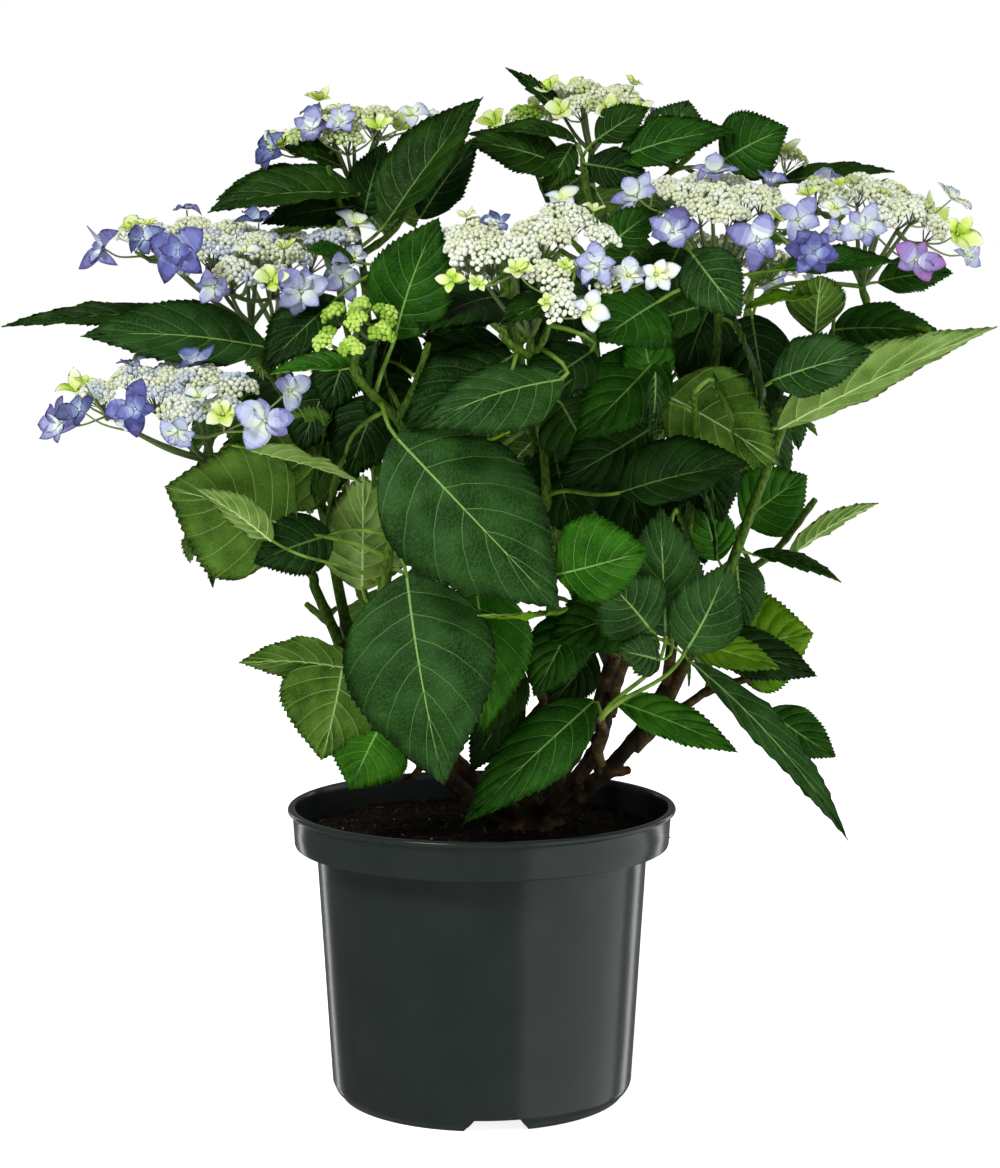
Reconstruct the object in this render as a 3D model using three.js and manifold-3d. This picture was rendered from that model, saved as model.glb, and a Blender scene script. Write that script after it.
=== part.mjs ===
// A lacecap hydrangea in its nursery pot. Millimetres, +Z up, +Y towards the back.
// The origin is the centre of the pot's flat underside.
//
// The plant is built from the foot up: a flared root crown on the soil, woody boughs, green shoots
// that end where they enter the foliage, uneven masses of leaves, and flower heads on short stalks.
// Pieces that meet keep a gap of GAP between them.

import * as THREE from 'three';
import { mergeVertices } from 'three/addons/utils/BufferGeometryUtils.js';
import Module from 'manifold-3d';

const wasm = await Module();
wasm.setup();

// ---------------------------------------------------------------- driving dimensions

const GAP = 0.3;
const MASS_GROWTH = 0.55; // radial growth that leaves at least GAP beside a sloping face

const POT = {
  segments: 28,
  height: 211,
  rimRadius: 140,
  collarTop: 136.5,
  collarFoot: 135,
  collarHeight: 28,
  bodyTop: 119.5,
  bodyFoot: 109,
  footRadius: 102.6,
  cornerHeight: 12,
  wall: 2,
  floorHeight: 10,
  ringWidth: 3,
  padRadius: 30,
};

const NOTCH = { count: 4, firstAngle: 6, footWidth: 45, topWidth: 32, height: 9.5 };
const DRAIN = { count: 6, radius: 7, ring: 65, sides: 8 };

const SOIL = { top: 197, edge: 191.5, flatRadius: 66, lumps: 1.6 };
const CROWN = { centre: [32, 4], height: 22, footRadius: 30, neckRadius: 15, segments: 12 };

const LIMB = { step: 44, boughSides: 7, shootSides: 5 };
const HEAD = { segments: 10, funnel: 0.55 };

// Woody boughs: the route of the centreline, and the girth as radii at foot and tip.
const BOUGHS = {
  bough_left: {
    route: [[14, -4, 202], [-12, -24, 224], [-50, -42, 256], [-86, -56, 300]],
    radii: [6.8, 5.5],
  },
  bough_front: {
    route: [[26, -12, 204], [10, -30, 236], [26, -34, 264], [48, -30, 292]],
    radii: [6.4, 5.2],
  },
  bough_front_right: {
    route: [[40, -10, 204], [66, -30, 232], [82, -44, 258], [90, -52, 298]],
    radii: [6.4, 5.2],
  },
  bough_right: {
    route: [[50, 2, 204], [78, -4, 224], [106, -8, 252], [134, -6, 300]],
    radii: [6.8, 5.5],
  },
  bough_back_left: {
    route: [[20, 18, 204], [-14, 42, 228], [-46, 62, 262], [-66, 74, 306]],
    radii: [6.8, 5.5],
  },
  bough_back_right: {
    route: [[42, 20, 204], [62, 46, 230], [84, 68, 264], [98, 84, 308]],
    radii: [6.8, 5.5],
  },
};

// Green shoots: each starts inside the tip of a bough and ends where it enters its own mass.
const SHOOTS = {
  shoot_left_low: {
    mass: 'foliage_left_outer',
    route: [[-86, -56, 294], [-100, -50, 336], [-122, -44, 386], [-152, -46, 428]],
    radii: [5, 3.8],
  },
  shoot_left_mid: {
    mass: 'foliage_left_upper',
    route: [[-84, -54, 296], [-98, -38, 360], [-116, -14, 440], [-150, 10, 530]],
    radii: [5, 3.6],
  },
  shoot_bud: {
    mass: 'foliage_centre',
    route: [[-84, -57, 296], [-70, -76, 360], [-58, -92, 430], [-52, -96, 500]],
    radii: [5, 3.8],
  },
  shoot_left_foot: {
    mass: 'foliage_left_low',
    route: [[-48, -41, 254], [-60, -44, 266], [-80, -50, 280], [-100, -54, 296]],
    radii: [4.2, 3.2],
  },
  shoot_centre: {
    mass: 'foliage_centre',
    route: [[47, -30, 288], [50, -34, 350], [46, -52, 430], [40, -70, 520]],
    radii: [5, 4],
  },
  shoot_front: {
    mass: 'foliage_front_low',
    route: [[46, -30, 287], [32, -58, 322], [14, -84, 362], [-2, -104, 400]],
    radii: [4.4, 3.4],
  },
  shoot_foot: {
    mass: 'foliage_foot',
    route: [[80, -43, 254], [84, -56, 268], [86, -68, 278], [88, -78, 288]],
    radii: [4.4, 3.4],
  },
  shoot_right_front: {
    mass: 'foliage_right_front',
    route: [[90, -52, 292], [98, -62, 318], [108, -74, 346], [116, -84, 376]],
    radii: [4.6, 3.6],
  },
  shoot_right_inner: {
    mass: 'foliage_right_inner',
    route: [[133, -6, 295], [140, -14, 360], [148, -24, 430], [156, -34, 500]],
    radii: [5, 4],
  },
  shoot_right_outer: {
    mass: 'foliage_right_outer',
    route: [[132, -6, 292], [164, -10, 350], [194, -6, 430], [236, 2, 540]],
    radii: [5.4, 4],
  },
  shoot_right_low: {
    mass: 'foliage_right_low',
    route: [[108, -8, 254], [132, 0, 272], [164, 4, 294], [196, 8, 314]],
    radii: [4.4, 3.4],
  },
  shoot_top_left: {
    mass: 'foliage_top_left',
    route: [[-65, 73, 301], [-74, 62, 390], [-82, 72, 500], [-90, 96, 640]],
    radii: [5.4, 3.8],
  },
  shoot_back_left: {
    mass: 'foliage_back_left',
    route: [[-66, 74, 300], [-92, 96, 356], [-116, 122, 420], [-134, 148, 500]],
    radii: [5, 3.8],
  },
  shoot_top_centre: {
    mass: 'foliage_top_centre',
    route: [[96, 82, 302], [88, 62, 390], [84, 80, 520], [84, 130, 660]],
    radii: [5.4, 3.8],
  },
  shoot_back_centre: {
    mass: 'foliage_back_centre',
    route: [[98, 84, 301], [70, 104, 352], [44, 128, 412], [28, 150, 480]],
    radii: [5, 3.8],
  },
  shoot_back_right: {
    mass: 'foliage_back_right',
    route: [[98, 85, 303], [124, 98, 362], [150, 112, 430], [172, 128, 510]],
    radii: [5, 3.8],
  },
};

// Masses of leaves: centre, half-sizes, and the tips of the leaves that reach furthest out of each.
const MASSES = {
  foliage_left_outer: { centre: [-166, -62, 412], half: [50, 56, 36], tips: [[-217, -60, 441]], detail: 2 },
  foliage_left_upper: {
    centre: [-190, 25, 540],
    half: [104, 80, 32],
    tips: [[-341, 0, 553], [-275, -45, 552]],
    detail: 3,
  },
  foliage_top_left: {
    centre: [-92, 112, 640],
    half: [104, 84, 46],
    tips: [[-205, 90, 638], [1, 90, 720]],
    detail: 3,
  },
  foliage_top_centre: {
    centre: [82, 165, 664],
    half: [112, 82, 40],
    tips: [[17, 150, 749], [227, 130, 708], [-23, 150, 698]],
    detail: 3,
  },
  foliage_top_right: { centre: [232, 128, 628], half: [58, 62, 32], tips: [[309, 120, 674]], detail: 2 },
  foliage_middle: { centre: [24, 20, 592], half: [78, 56, 40], tips: [[-40, 10, 640]], detail: 2 },
  foliage_centre: {
    centre: [6, -106, 530],
    half: [86, 56, 54],
    tips: [[-27, -125, 625], [-40, -190, 489]],
    detail: 2,
  },
  foliage_right_inner: { centre: [152, -52, 500], half: [76, 70, 60], tips: [[192, -115, 462]], detail: 2 },
  foliage_right_outer: {
    centre: [266, 5, 545],
    half: [72, 68, 38],
    tips: [[355, -60, 560], [337, 15, 591]],
    detail: 3,
  },
  foliage_right_side: {
    centre: [240, 25, 422],
    half: [34, 54, 42],
    tips: [[283, 0, 431], [257, -10, 377]],
    detail: 2,
  },
  foliage_front_low: {
    centre: [-20, -134, 386],
    half: [78, 38, 80],
    tips: [[49, -170, 372], [-23, -150, 249]],
    detail: 2,
  },
  foliage_left_low: {
    centre: [-134, -76, 302],
    half: [32, 40, 44],
    tips: [[-162, -70, 329], [-92, -88, 236]],
    detail: 2,
  },
  foliage_right_front: { centre: [124, -104, 384], half: [54, 40, 50], tips: [[110, -160, 400]], detail: 2 },
  foliage_foot: {
    centre: [86, -92, 290],
    half: [48, 28, 22],
    tips: [[-10, -116, 226], [175, -80, 264]],
    detail: 2,
  },
  foliage_right_low: {
    centre: [210, 4, 318],
    half: [44, 60, 46],
    tips: [[250, -100, 216], [251, 0, 251], [246, 60, 319]],
    detail: 2,
  },
  foliage_back_left: { centre: [-148, 168, 492], half: [90, 84, 80], tips: [[-236, 210, 490]], detail: 2 },
  foliage_back_centre: { centre: [20, 200, 478], half: [78, 76, 90], tips: [[20, 288, 460]], detail: 2 },
  foliage_back_right: { centre: [186, 158, 500], half: [80, 82, 76], tips: [[262, 210, 496]], detail: 2 },
  foliage_low_back_left: {
    centre: [-136, 136, 330],
    half: [48, 46, 50],
    tips: [[-172, 184, 282]],
    detail: 2,
  },
  foliage_low_back_right: { centre: [138, 168, 330], half: [56, 50, 50], tips: [[190, 205, 276]], detail: 2 },
};

// Flower heads: centre of the cushion's rim, half-widths, dome height, the way the head faces, and
// where its stalk starts.
const HEADS = {
  head_left_low: {
    centre: [-212, -92, 500],
    half: [86, 72],
    dome: 24,
    axis: [-0.06, -0.42, 0.9],
    stalk: [-176, -56, 434],
  },
  head_left_mid: {
    centre: [-184, 5, 594],
    half: [90, 74],
    dome: 24,
    axis: [0.14, -0.42, 0.9],
    stalk: [-160, 16, 545],
  },
  head_left_small: {
    centre: [-106, 60, 612],
    half: [26, 24],
    dome: 14,
    axis: [0.1, -0.35, 0.93],
    stalk: [-112, 70, 570],
  },
  head_top_left: {
    centre: [-99, 112, 698],
    half: [56, 52],
    dome: 20,
    axis: [-0.14, -0.28, 0.95],
    stalk: [-92, 104, 650],
  },
  head_top_centre: {
    centre: [84, 165, 720],
    half: [50, 46],
    dome: 20,
    axis: [0.04, -0.36, 0.93],
    stalk: [84, 156, 660],
  },
  head_top_small: {
    centre: [34, 185, 708],
    half: [28, 24],
    dome: 14,
    axis: [-0.1, -0.3, 0.95],
    stalk: [34, 184, 660],
  },
  head_centre: {
    centre: [34, -140, 598],
    half: [74, 70],
    dome: 26,
    axis: [0.02, -0.58, 0.81],
    stalk: [34, -108, 540],
  },
  head_right_mid: {
    centre: [165, -45, 633],
    half: [76, 66],
    dome: 24,
    axis: [0.04, -0.36, 0.93],
    stalk: [156, -38, 540],
  },
  head_right_outer: {
    centre: [278, 15, 630],
    half: [76, 66],
    dome: 24,
    axis: [0.22, -0.36, 0.9],
    stalk: [264, 8, 560],
  },
  head_right_back: {
    centre: [218, 135, 676],
    half: [30, 28],
    dome: 14,
    axis: [0.1, -0.2, 0.97],
    stalk: [214, 122, 640],
  },
  head_bud: {
    centre: [-82, -134, 550],
    half: [27, 25],
    dome: 16,
    axis: [0, -0.5, 0.86],
    stalk: [-62, -108, 500],
  },
  head_back_left: {
    centre: [-168, 192, 598],
    half: [70, 64],
    dome: 24,
    axis: [-0.26, 0.3, 0.92],
    stalk: [-152, 172, 530],
  },
  head_back_centre: {
    centre: [20, 246, 592],
    half: [74, 62],
    dome: 24,
    axis: [0.02, 0.36, 0.93],
    stalk: [20, 206, 524],
  },
  head_back_right: {
    centre: [200, 206, 600],
    half: [60, 54],
    dome: 22,
    axis: [0.28, 0.29, 0.92],
    stalk: [188, 166, 530],
  },
};

const FINISH = {
  pot: { color: 0x3f4543, roughness: 0.35, metalness: 0 },
  soil: { color: 0x2b211b, roughness: 1, metalness: 0 },
  bark: { color: 0x4a3428, roughness: 0.9, metalness: 0 },
  shoot: { color: 0x7d9a4a, roughness: 0.6, metalness: 0 },
  foliage: { color: 0x2f6a35, roughness: 0.5, metalness: 0 },
  blossom: { color: 0xc3c8d8, roughness: 0.7, metalness: 0 },
};

// ---------------------------------------------------------------- solids from geometries

// A closed geometry as a solid that can be cut and joined.
function solidOf(geometry) {
  const shell = geometry.clone();
  shell.deleteAttribute('normal');
  shell.deleteAttribute('uv');
  const merged = mergeVertices(shell, 1e-4);
  const mesh = new wasm.Mesh({
    numProp: 3,
    vertProperties: new Float32Array(merged.attributes.position.array),
    triVerts: new Uint32Array(merged.index.array),
  });
  return new wasm.Manifold(mesh);
}

// The piece with the most volume of what a cut leaves.
function largest(solid) {
  return solid.decompose().reduce((best, piece) => (piece.volume() > best.volume() ? piece : best));
}

function cutBy(solid, tools) {
  return largest(tools.reduce((rest, tool) => rest.subtract(tool), solid));
}

function geometryOf(solid) {
  const mesh = solid.getMesh();
  const geometry = new THREE.BufferGeometry();
  geometry.setAttribute('position', new THREE.BufferAttribute(new Float32Array(mesh.vertProperties), 3));
  geometry.setIndex(new THREE.BufferAttribute(new Uint32Array(mesh.triVerts), 1));
  geometry.computeVertexNormals();
  return geometry;
}

// Moves every vertex of a geometry to where place(x, y, z) says.
function reshape(geometry, place) {
  const position = geometry.attributes.position;
  for (let i = 0; i < position.count; i += 1) {
    const moved = place(position.getX(i), position.getY(i), position.getZ(i));
    position.setXYZ(i, ...moved);
  }
  return geometry;
}

// A smooth value from -1 to 1 that wanders with the direction (x, y, z).
function ripple(x, y, z, seed) {
  const a = Math.sin(3.1 * x + 1.7 * seed) * Math.cos(2.7 * y - 0.9 * seed);
  const b = Math.sin(4.3 * z + 2.1 * y + 2.3 * seed) * Math.cos(3.7 * x + seed);
  return 0.6 * a + 0.4 * b;
}

const profile = (points) => points.map(([radius, height]) => new THREE.Vector2(radius, height));

// A profile of [radius, height] points turned about the Z axis.
function turned(points, segments) {
  const geometry = new THREE.LatheGeometry(profile(points), segments);
  geometry.rotateX(Math.PI / 2);
  return geometry;
}

// ---------------------------------------------------------------- pot and soil

// Injection-moulded pot: a collar that steps out at the top, a tapering body and a raised floor.
function potSolid() {
  const shelf = POT.height - POT.collarHeight;
  const floor = POT.floorHeight;
  const inner = floor + POT.wall;
  const corner = POT.cornerHeight;
  const bead = POT.rimRadius;
  const body = solidOf(
    turned(
      [
        [0, 0],
        [POT.padRadius, 0],
        [POT.padRadius + 1, floor],
        [POT.footRadius - POT.ringWidth - 0.6, floor],
        [POT.footRadius - POT.ringWidth, 0],
        [POT.footRadius, 0],
        [POT.footRadius + 4.6, 0.35 * corner],
        [POT.bodyFoot, corner],
        [POT.bodyTop, shelf],
        [POT.collarFoot, shelf],
        [POT.collarTop, POT.height - 5],
        [bead, POT.height - 3.2],
        [bead - 0.8, POT.height],
        [bead - 5, POT.height],
        [POT.collarFoot - POT.wall, shelf + POT.wall],
        [POT.bodyTop - POT.wall, shelf + POT.wall],
        [POT.bodyFoot - POT.wall, corner + 2],
        [POT.bodyFoot - POT.wall - 2, inner],
        [0, inner],
      ],
      POT.segments,
    ),
  );
  const notches = [];
  for (let i = 0; i < NOTCH.count; i += 1) {
    notches.push(solidOf(notchTool(NOTCH.firstAngle + (i * 360) / NOTCH.count)));
  }
  const drains = [];
  for (let i = 0; i < DRAIN.count; i += 1) {
    drains.push(solidOf(drainTool((i * 2 * Math.PI) / DRAIN.count)));
  }
  return cutBy(body, [...notches, ...drains]);
}

// The trapezoid that is open through the foot ring, for water to run out.
function notchTool(degrees) {
  const foot = NOTCH.footWidth / 2;
  const top = NOTCH.topWidth / 2;
  const outline = new THREE.Shape([
    new THREE.Vector2(-foot - 1, -1),
    new THREE.Vector2(foot + 1, -1),
    new THREE.Vector2(top, NOTCH.height),
    new THREE.Vector2(-top, NOTCH.height),
  ]);
  const geometry = new THREE.ExtrudeGeometry(outline, { depth: 40, bevelEnabled: false });
  geometry.rotateX(Math.PI / 2);
  geometry.translate(0, POT.footRadius + 20, 0);
  geometry.rotateZ(THREE.MathUtils.degToRad(degrees - 90));
  return geometry;
}

function drainTool(angle) {
  const geometry = new THREE.CylinderGeometry(DRAIN.radius, DRAIN.radius, 20, DRAIN.sides);
  geometry.rotateX(Math.PI / 2);
  geometry.translate(DRAIN.ring * Math.cos(angle), DRAIN.ring * Math.sin(angle), POT.floorHeight);
  return geometry;
}

// The soil fills the pot to just below the rim. It is flat where the root crown stands on it.
function soilSolid() {
  const shelf = POT.height - POT.collarHeight + POT.wall;
  const wall = POT.wall + GAP;
  const slack = GAP + 0.1;
  const ground = turned(
    [
      [0, POT.floorHeight + wall],
      [POT.bodyFoot - wall - 2.4, POT.floorHeight + wall],
      [POT.bodyFoot - wall - slack, POT.cornerHeight + 3],
      [POT.bodyTop - wall - slack, shelf + slack],
      [POT.collarFoot - wall - slack, shelf + slack],
      [POT.collarFoot - wall, SOIL.edge],
      [SOIL.flatRadius + 44, SOIL.edge + 1.5],
      [SOIL.flatRadius + 22, SOIL.edge + 3.5],
      [SOIL.flatRadius, SOIL.top],
      [0, SOIL.top],
    ],
    POT.segments / 2,
  );
  return solidOf(reshape(ground, soilLump));
}

function soilLump(x, y, z) {
  const radius = Math.hypot(x, y);
  const rough = z > SOIL.edge + 0.5 && radius > SOIL.flatRadius + 1;
  return [x, y, rough ? z + SOIL.lumps * ripple(x / 12, y / 12, 0, 5) : z];
}

// ---------------------------------------------------------------- wood and stems

// The root crown is flat below, flares over the soil and narrows to a rough neck.
function crownSolid(grow) {
  const { height, footRadius, neckRadius } = CROWN;
  const geometry = turned(
    [
      [0, -grow],
      [footRadius + grow, -grow],
      [footRadius - 4 + grow, 0.25 * height],
      [neckRadius + 5 + grow, 0.6 * height],
      [neckRadius + grow, height + grow],
      [0, height + 2 + grow],
    ],
    CROWN.segments,
  );
  reshape(geometry, (x, y, z) => {
    const angle = Math.atan2(y, x);
    const swell = 1 + 0.14 * Math.sin(3 * angle + 0.6) + 0.07 * Math.sin(5 * angle);
    return [x * swell + CROWN.centre[0], y * swell + CROWN.centre[1], z + SOIL.top + GAP];
  });
  return solidOf(geometry);
}

// One tapering limb: a cylinder whose rings are laid along a smooth curve through the route.
function limbGeometry({ route, radii }, sides, grow) {
  const points = route.map((point) => new THREE.Vector3(...point));
  const curve = new THREE.CatmullRomCurve3(points, false, 'centripetal');
  const steps = Math.max(3, Math.round(curve.getLength() / LIMB.step));
  const frames = curve.computeFrenetFrames(steps);
  return reshape(new THREE.CylinderGeometry(1, 1, 1, sides, steps), (x, y, z) => {
    const along = y + 0.5;
    const ring = Math.round(along * steps);
    const radius = THREE.MathUtils.lerp(radii[0], radii[1], along) + grow;
    return curve
      .getPointAt(along)
      .addScaledVector(frames.tangents[ring], grow * Math.sign(ring - steps / 2))
      .addScaledVector(frames.normals[ring], radius * x)
      .addScaledVector(frames.binormals[ring], -radius * z)
      .toArray();
  });
}

const limbSolid = (limb, sides, grow = 0) => solidOf(limbGeometry(limb, sides, grow));

// ---------------------------------------------------------------- foliage and flowers

// An uneven mass of leaves. The vertex nearest to each tip goes out to it.
function massSolid({ centre, half, tips, detail }, seed, grow) {
  const geometry = new THREE.IcosahedronGeometry(1, detail);
  const middle = new THREE.Vector3(...centre);
  const sharpness = 3 + 3 * detail;
  const lobes = tips.map((tip) => {
    const arm = new THREE.Vector3(...tip).sub(middle);
    return { reach: arm.length(), way: nearestDirection(geometry, arm.normalize()) };
  });
  const surface = (n) => {
    const ellipsoid = 1 / Math.hypot(n.x / half[0], n.y / half[1], n.z / half[2]);
    return ellipsoid * (1 + 0.09 * ripple(n.x, n.y, n.z, seed));
  };
  reshape(geometry, (x, y, z) => {
    const n = new THREE.Vector3(x, y, z).normalize();
    let radius = surface(n);
    for (const { reach, way } of lobes) {
      const nearness = Math.exp(-sharpness * (1 - n.dot(way)) * 2);
      radius += Math.max(0, reach - surface(way)) * nearness;
    }
    return n.multiplyScalar(radius + grow).add(middle).toArray();
  });
  return solidOf(geometry);
}

function nearestDirection(geometry, way) {
  const position = geometry.attributes.position;
  const best = new THREE.Vector3();
  const vertex = new THREE.Vector3();
  for (let i = 0; i < position.count; i += 1) {
    vertex.fromBufferAttribute(position, i).normalize();
    if (vertex.dot(way) > best.dot(way)) {
      best.copy(vertex);
    }
  }
  return best;
}

// A flower head: a shallow domed cushion over a funnel of rays, on a stalk out of the leaves.
function headSolid({ centre, half, dome, axis, stalk }, seed, grow) {
  const depth = HEAD.funnel * Math.min(...half);
  const cushion = turned(
    [
      [0, -depth - grow],
      [1, -5 - grow],
      [1, 5],
      [0.72, 0.78 * dome + grow],
      [0, dome + grow],
    ],
    HEAD.segments,
  );
  const facing = new THREE.Vector3(...axis).normalize();
  const turn = new THREE.Quaternion().setFromUnitVectors(new THREE.Vector3(0, 0, 1), facing);
  const middle = new THREE.Vector3(...centre);
  const local = (x, y, z) => new THREE.Vector3(x, y, z).applyQuaternion(turn).add(middle);
  reshape(cushion, (x, y, z) => {
    const swell = 1 + 0.06 * ripple(2 * x, 2 * y, 0, seed);
    return local(x * swell * (half[0] + grow), y * swell * (half[1] + grow), z).toArray();
  });
  const neck = local(0, 0, -0.5 * depth);
  const under = local(0, 0, -1.3 * depth).lerp(new THREE.Vector3(...stalk), 0.3);
  const stem = { route: [stalk, under.toArray(), neck.toArray()], radii: [3.4, 3.8] };
  return solidOf(cushion).add(limbSolid(stem, LIMB.shootSides, grow));
}

// ---------------------------------------------------------------- the plant

const plant = new THREE.Group();

function addPiece(name, solid, finish) {
  const mesh = new THREE.Mesh(geometryOf(solid), new THREE.MeshStandardMaterial(FINISH[finish]));
  mesh.name = name;
  plant.add(mesh);
}

addPiece('pot', potSolid(), 'pot');
addPiece('soil', soilSolid(), 'soil');
addPiece('root_crown', crownSolid(0), 'bark');

// Cutting tools: each piece grown by the gap, for the pieces that come after it.
const wood = [crownSolid(GAP)];
for (const [name, bough] of Object.entries(BOUGHS)) {
  addPiece(name, cutBy(limbSolid(bough, LIMB.boughSides), wood), 'bark');
  wood.push(limbSolid(bough, LIMB.boughSides, GAP));
}

const shootTools = {};
for (const [index, [name, shoot]] of Object.entries(SHOOTS).entries()) {
  const mass = massSolid(MASSES[shoot.mass], Object.keys(MASSES).indexOf(shoot.mass), MASS_GROWTH);
  const earlier = Object.values(shootTools).slice(0, index);
  addPiece(name, cutBy(limbSolid(shoot, LIMB.shootSides), [...wood, ...earlier, mass]), 'shoot');
  shootTools[name] = limbSolid(shoot, LIMB.shootSides, GAP);
}

const massTools = [];
for (const [index, [name, mass]] of Object.entries(MASSES).entries()) {
  const passing = Object.keys(shootTools).filter((shoot) => SHOOTS[shoot].mass !== name);
  const tunnels = passing.map((shoot) => shootTools[shoot]);
  const solid = cutBy(massSolid(mass, index, 0), [...wood, ...tunnels, ...massTools]);
  addPiece(name, solid, 'foliage');
  massTools.push(massSolid(mass, index, MASS_GROWTH));
}

const headTools = [];
const stems = Object.values(shootTools);
for (const [index, [name, head]] of Object.entries(HEADS).entries()) {
  const solid = cutBy(headSolid(head, index, 0), [...massTools, ...stems, ...headTools]);
  addPiece(name, solid, 'blossom');
  headTools.push(headSolid(head, index, MASS_GROWTH));
}

export default plant;
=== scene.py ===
import math
import bmesh
import bpy
import numpy as np
from mathutils import Matrix, Vector, noise
from mathutils.bvhtree import BVHTree


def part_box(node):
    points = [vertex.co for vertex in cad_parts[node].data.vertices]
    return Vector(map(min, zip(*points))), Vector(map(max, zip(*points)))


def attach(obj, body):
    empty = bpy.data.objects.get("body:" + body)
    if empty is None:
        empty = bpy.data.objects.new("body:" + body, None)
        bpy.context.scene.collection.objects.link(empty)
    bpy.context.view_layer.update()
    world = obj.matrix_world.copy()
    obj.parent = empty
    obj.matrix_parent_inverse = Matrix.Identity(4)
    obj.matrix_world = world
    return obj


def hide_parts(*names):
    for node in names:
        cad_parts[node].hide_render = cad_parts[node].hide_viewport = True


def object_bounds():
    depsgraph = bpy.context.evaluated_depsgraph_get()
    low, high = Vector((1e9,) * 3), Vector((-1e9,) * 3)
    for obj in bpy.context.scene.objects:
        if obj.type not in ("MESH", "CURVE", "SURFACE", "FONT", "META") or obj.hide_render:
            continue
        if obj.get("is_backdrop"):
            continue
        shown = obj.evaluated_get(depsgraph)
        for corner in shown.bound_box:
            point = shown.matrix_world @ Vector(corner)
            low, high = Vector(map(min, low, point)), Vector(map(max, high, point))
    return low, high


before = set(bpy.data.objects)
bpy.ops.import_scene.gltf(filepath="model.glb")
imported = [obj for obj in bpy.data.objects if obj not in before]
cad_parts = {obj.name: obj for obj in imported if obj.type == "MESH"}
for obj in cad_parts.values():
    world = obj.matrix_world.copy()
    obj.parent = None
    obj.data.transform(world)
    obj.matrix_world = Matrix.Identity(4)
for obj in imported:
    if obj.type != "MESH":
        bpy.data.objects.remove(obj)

scene = bpy.context.scene
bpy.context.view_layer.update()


# Studio: a pale floor in an even white room, one square soft light above the left of the camera,
# two broad panels low on the right, and two tall strips behind the plant. The panels and the
# strips draw the long upright highlights on the pot.

def aimed(obj, place, target):
    """Puts a camera or light at place, looking at target."""
    obj.location = place
    obj.rotation_euler = (Vector(target) - Vector(place)).to_track_quat("-Z", "Y").to_euler()
    scene.collection.objects.link(obj)
    return obj


CAMERA_PLACE = (0.0131, -1.9, 0.575)
CAMERA_PITCH = math.radians(6.13)
lens = bpy.data.cameras.new("camera")
lens.lens = 82.2
lens.sensor_width = 36.0
camera = aimed(
    bpy.data.objects.new("camera", lens),
    CAMERA_PLACE,
    (CAMERA_PLACE[0], 0.0, CAMERA_PLACE[2] + CAMERA_PLACE[1] * math.tan(CAMERA_PITCH)),
)
scene.camera = camera
scene.view_settings.view_transform = "Standard"

ROOM_BEHIND_CAMERA = 0.22
ROOM_BEHIND_PLANT = 0.16


def white_room():
    """A room that looks white all round, and that lights the plant a little more from the front."""
    world = bpy.data.worlds.new("white_room")
    world.use_nodes = True
    nodes, links = world.node_tree.nodes, world.node_tree.links
    lit = nodes["Background"]
    lit.inputs["Color"].default_value = (1.0, 1.0, 1.0, 1.0)
    way = nodes.new("ShaderNodeSeparateXYZ")
    links.new(way.inputs["Vector"], nodes.new("ShaderNodeTexCoord").outputs["Generated"])
    level = nodes.new("ShaderNodeMapRange")
    level.inputs["From Min"].default_value = -1.0
    level.inputs["To Min"].default_value = ROOM_BEHIND_CAMERA
    level.inputs["To Max"].default_value = ROOM_BEHIND_PLANT
    links.new(level.inputs["Value"], way.outputs["Y"])
    links.new(lit.inputs["Strength"], level.outputs["Result"])
    seen = nodes.new("ShaderNodeBackground")
    seen.inputs["Color"].default_value = (1.0, 1.0, 1.0, 1.0)
    either = nodes.new("ShaderNodeMixShader")
    links.new(either.inputs["Fac"], nodes.new("ShaderNodeLightPath").outputs["Is Camera Ray"])
    links.new(either.inputs[1], lit.outputs["Background"])
    links.new(either.inputs[2], seen.outputs["Background"])
    links.new(nodes["World Output"].inputs["Surface"], either.outputs["Shader"])
    return world


scene.world = white_room()


def softbox(name, place, target, width, height, watts):
    light = bpy.data.lights.new(name, "AREA")
    light.shape = "RECTANGLE"
    light.size = width
    light.size_y = height
    light.energy = watts
    return aimed(bpy.data.objects.new(name, light), place, target)


softbox("key_light", (-1.1, -1.5, 2.1), (0.0, 0.0, 0.45), 0.8, 0.8, 54.0)
softbox("right_panel", (1.5, -0.9, 0.1), (0.0, 0.0, 0.1), 2.0, 2.6, 32.0)
softbox("right_panel_end", (1.8, 0.45, 0.1), (0.0, 0.0, 0.1), 1.0, 2.6, 15.0)
softbox("left_strip", (-1.25, 1.75, 0.1), (0.0, 0.0, 0.1), 0.2, 2.2, 4.5)
softbox("right_strip", (1.3, 1.5, 0.1), (0.0, 0.0, 0.1), 0.3, 2.2, 6.0)

FLOOR_SIZE = 60.0


def principled(name, color, roughness, **sockets):
    """A material whose shader sockets are set directly. Returns the material and its shader."""
    material = bpy.data.materials.new(name)
    material.use_nodes = True
    shader = material.node_tree.nodes["Principled BSDF"]
    shader.inputs["Base Color"].default_value = (*color, 1.0)
    shader.inputs["Roughness"].default_value = roughness
    for socket, value in sockets.items():
        shader.inputs[socket.replace("_", " ")].default_value = value
    return material, shader


def srgb(red, green, blue):
    """A colour given as 0-255 screen values, as the linear values that a shader takes."""
    values = np.array([red, green, blue]) / 255.0
    return tuple(np.where(values > 0.04045, ((values + 0.055) / 1.055) ** 2.4, values / 12.92))


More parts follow.
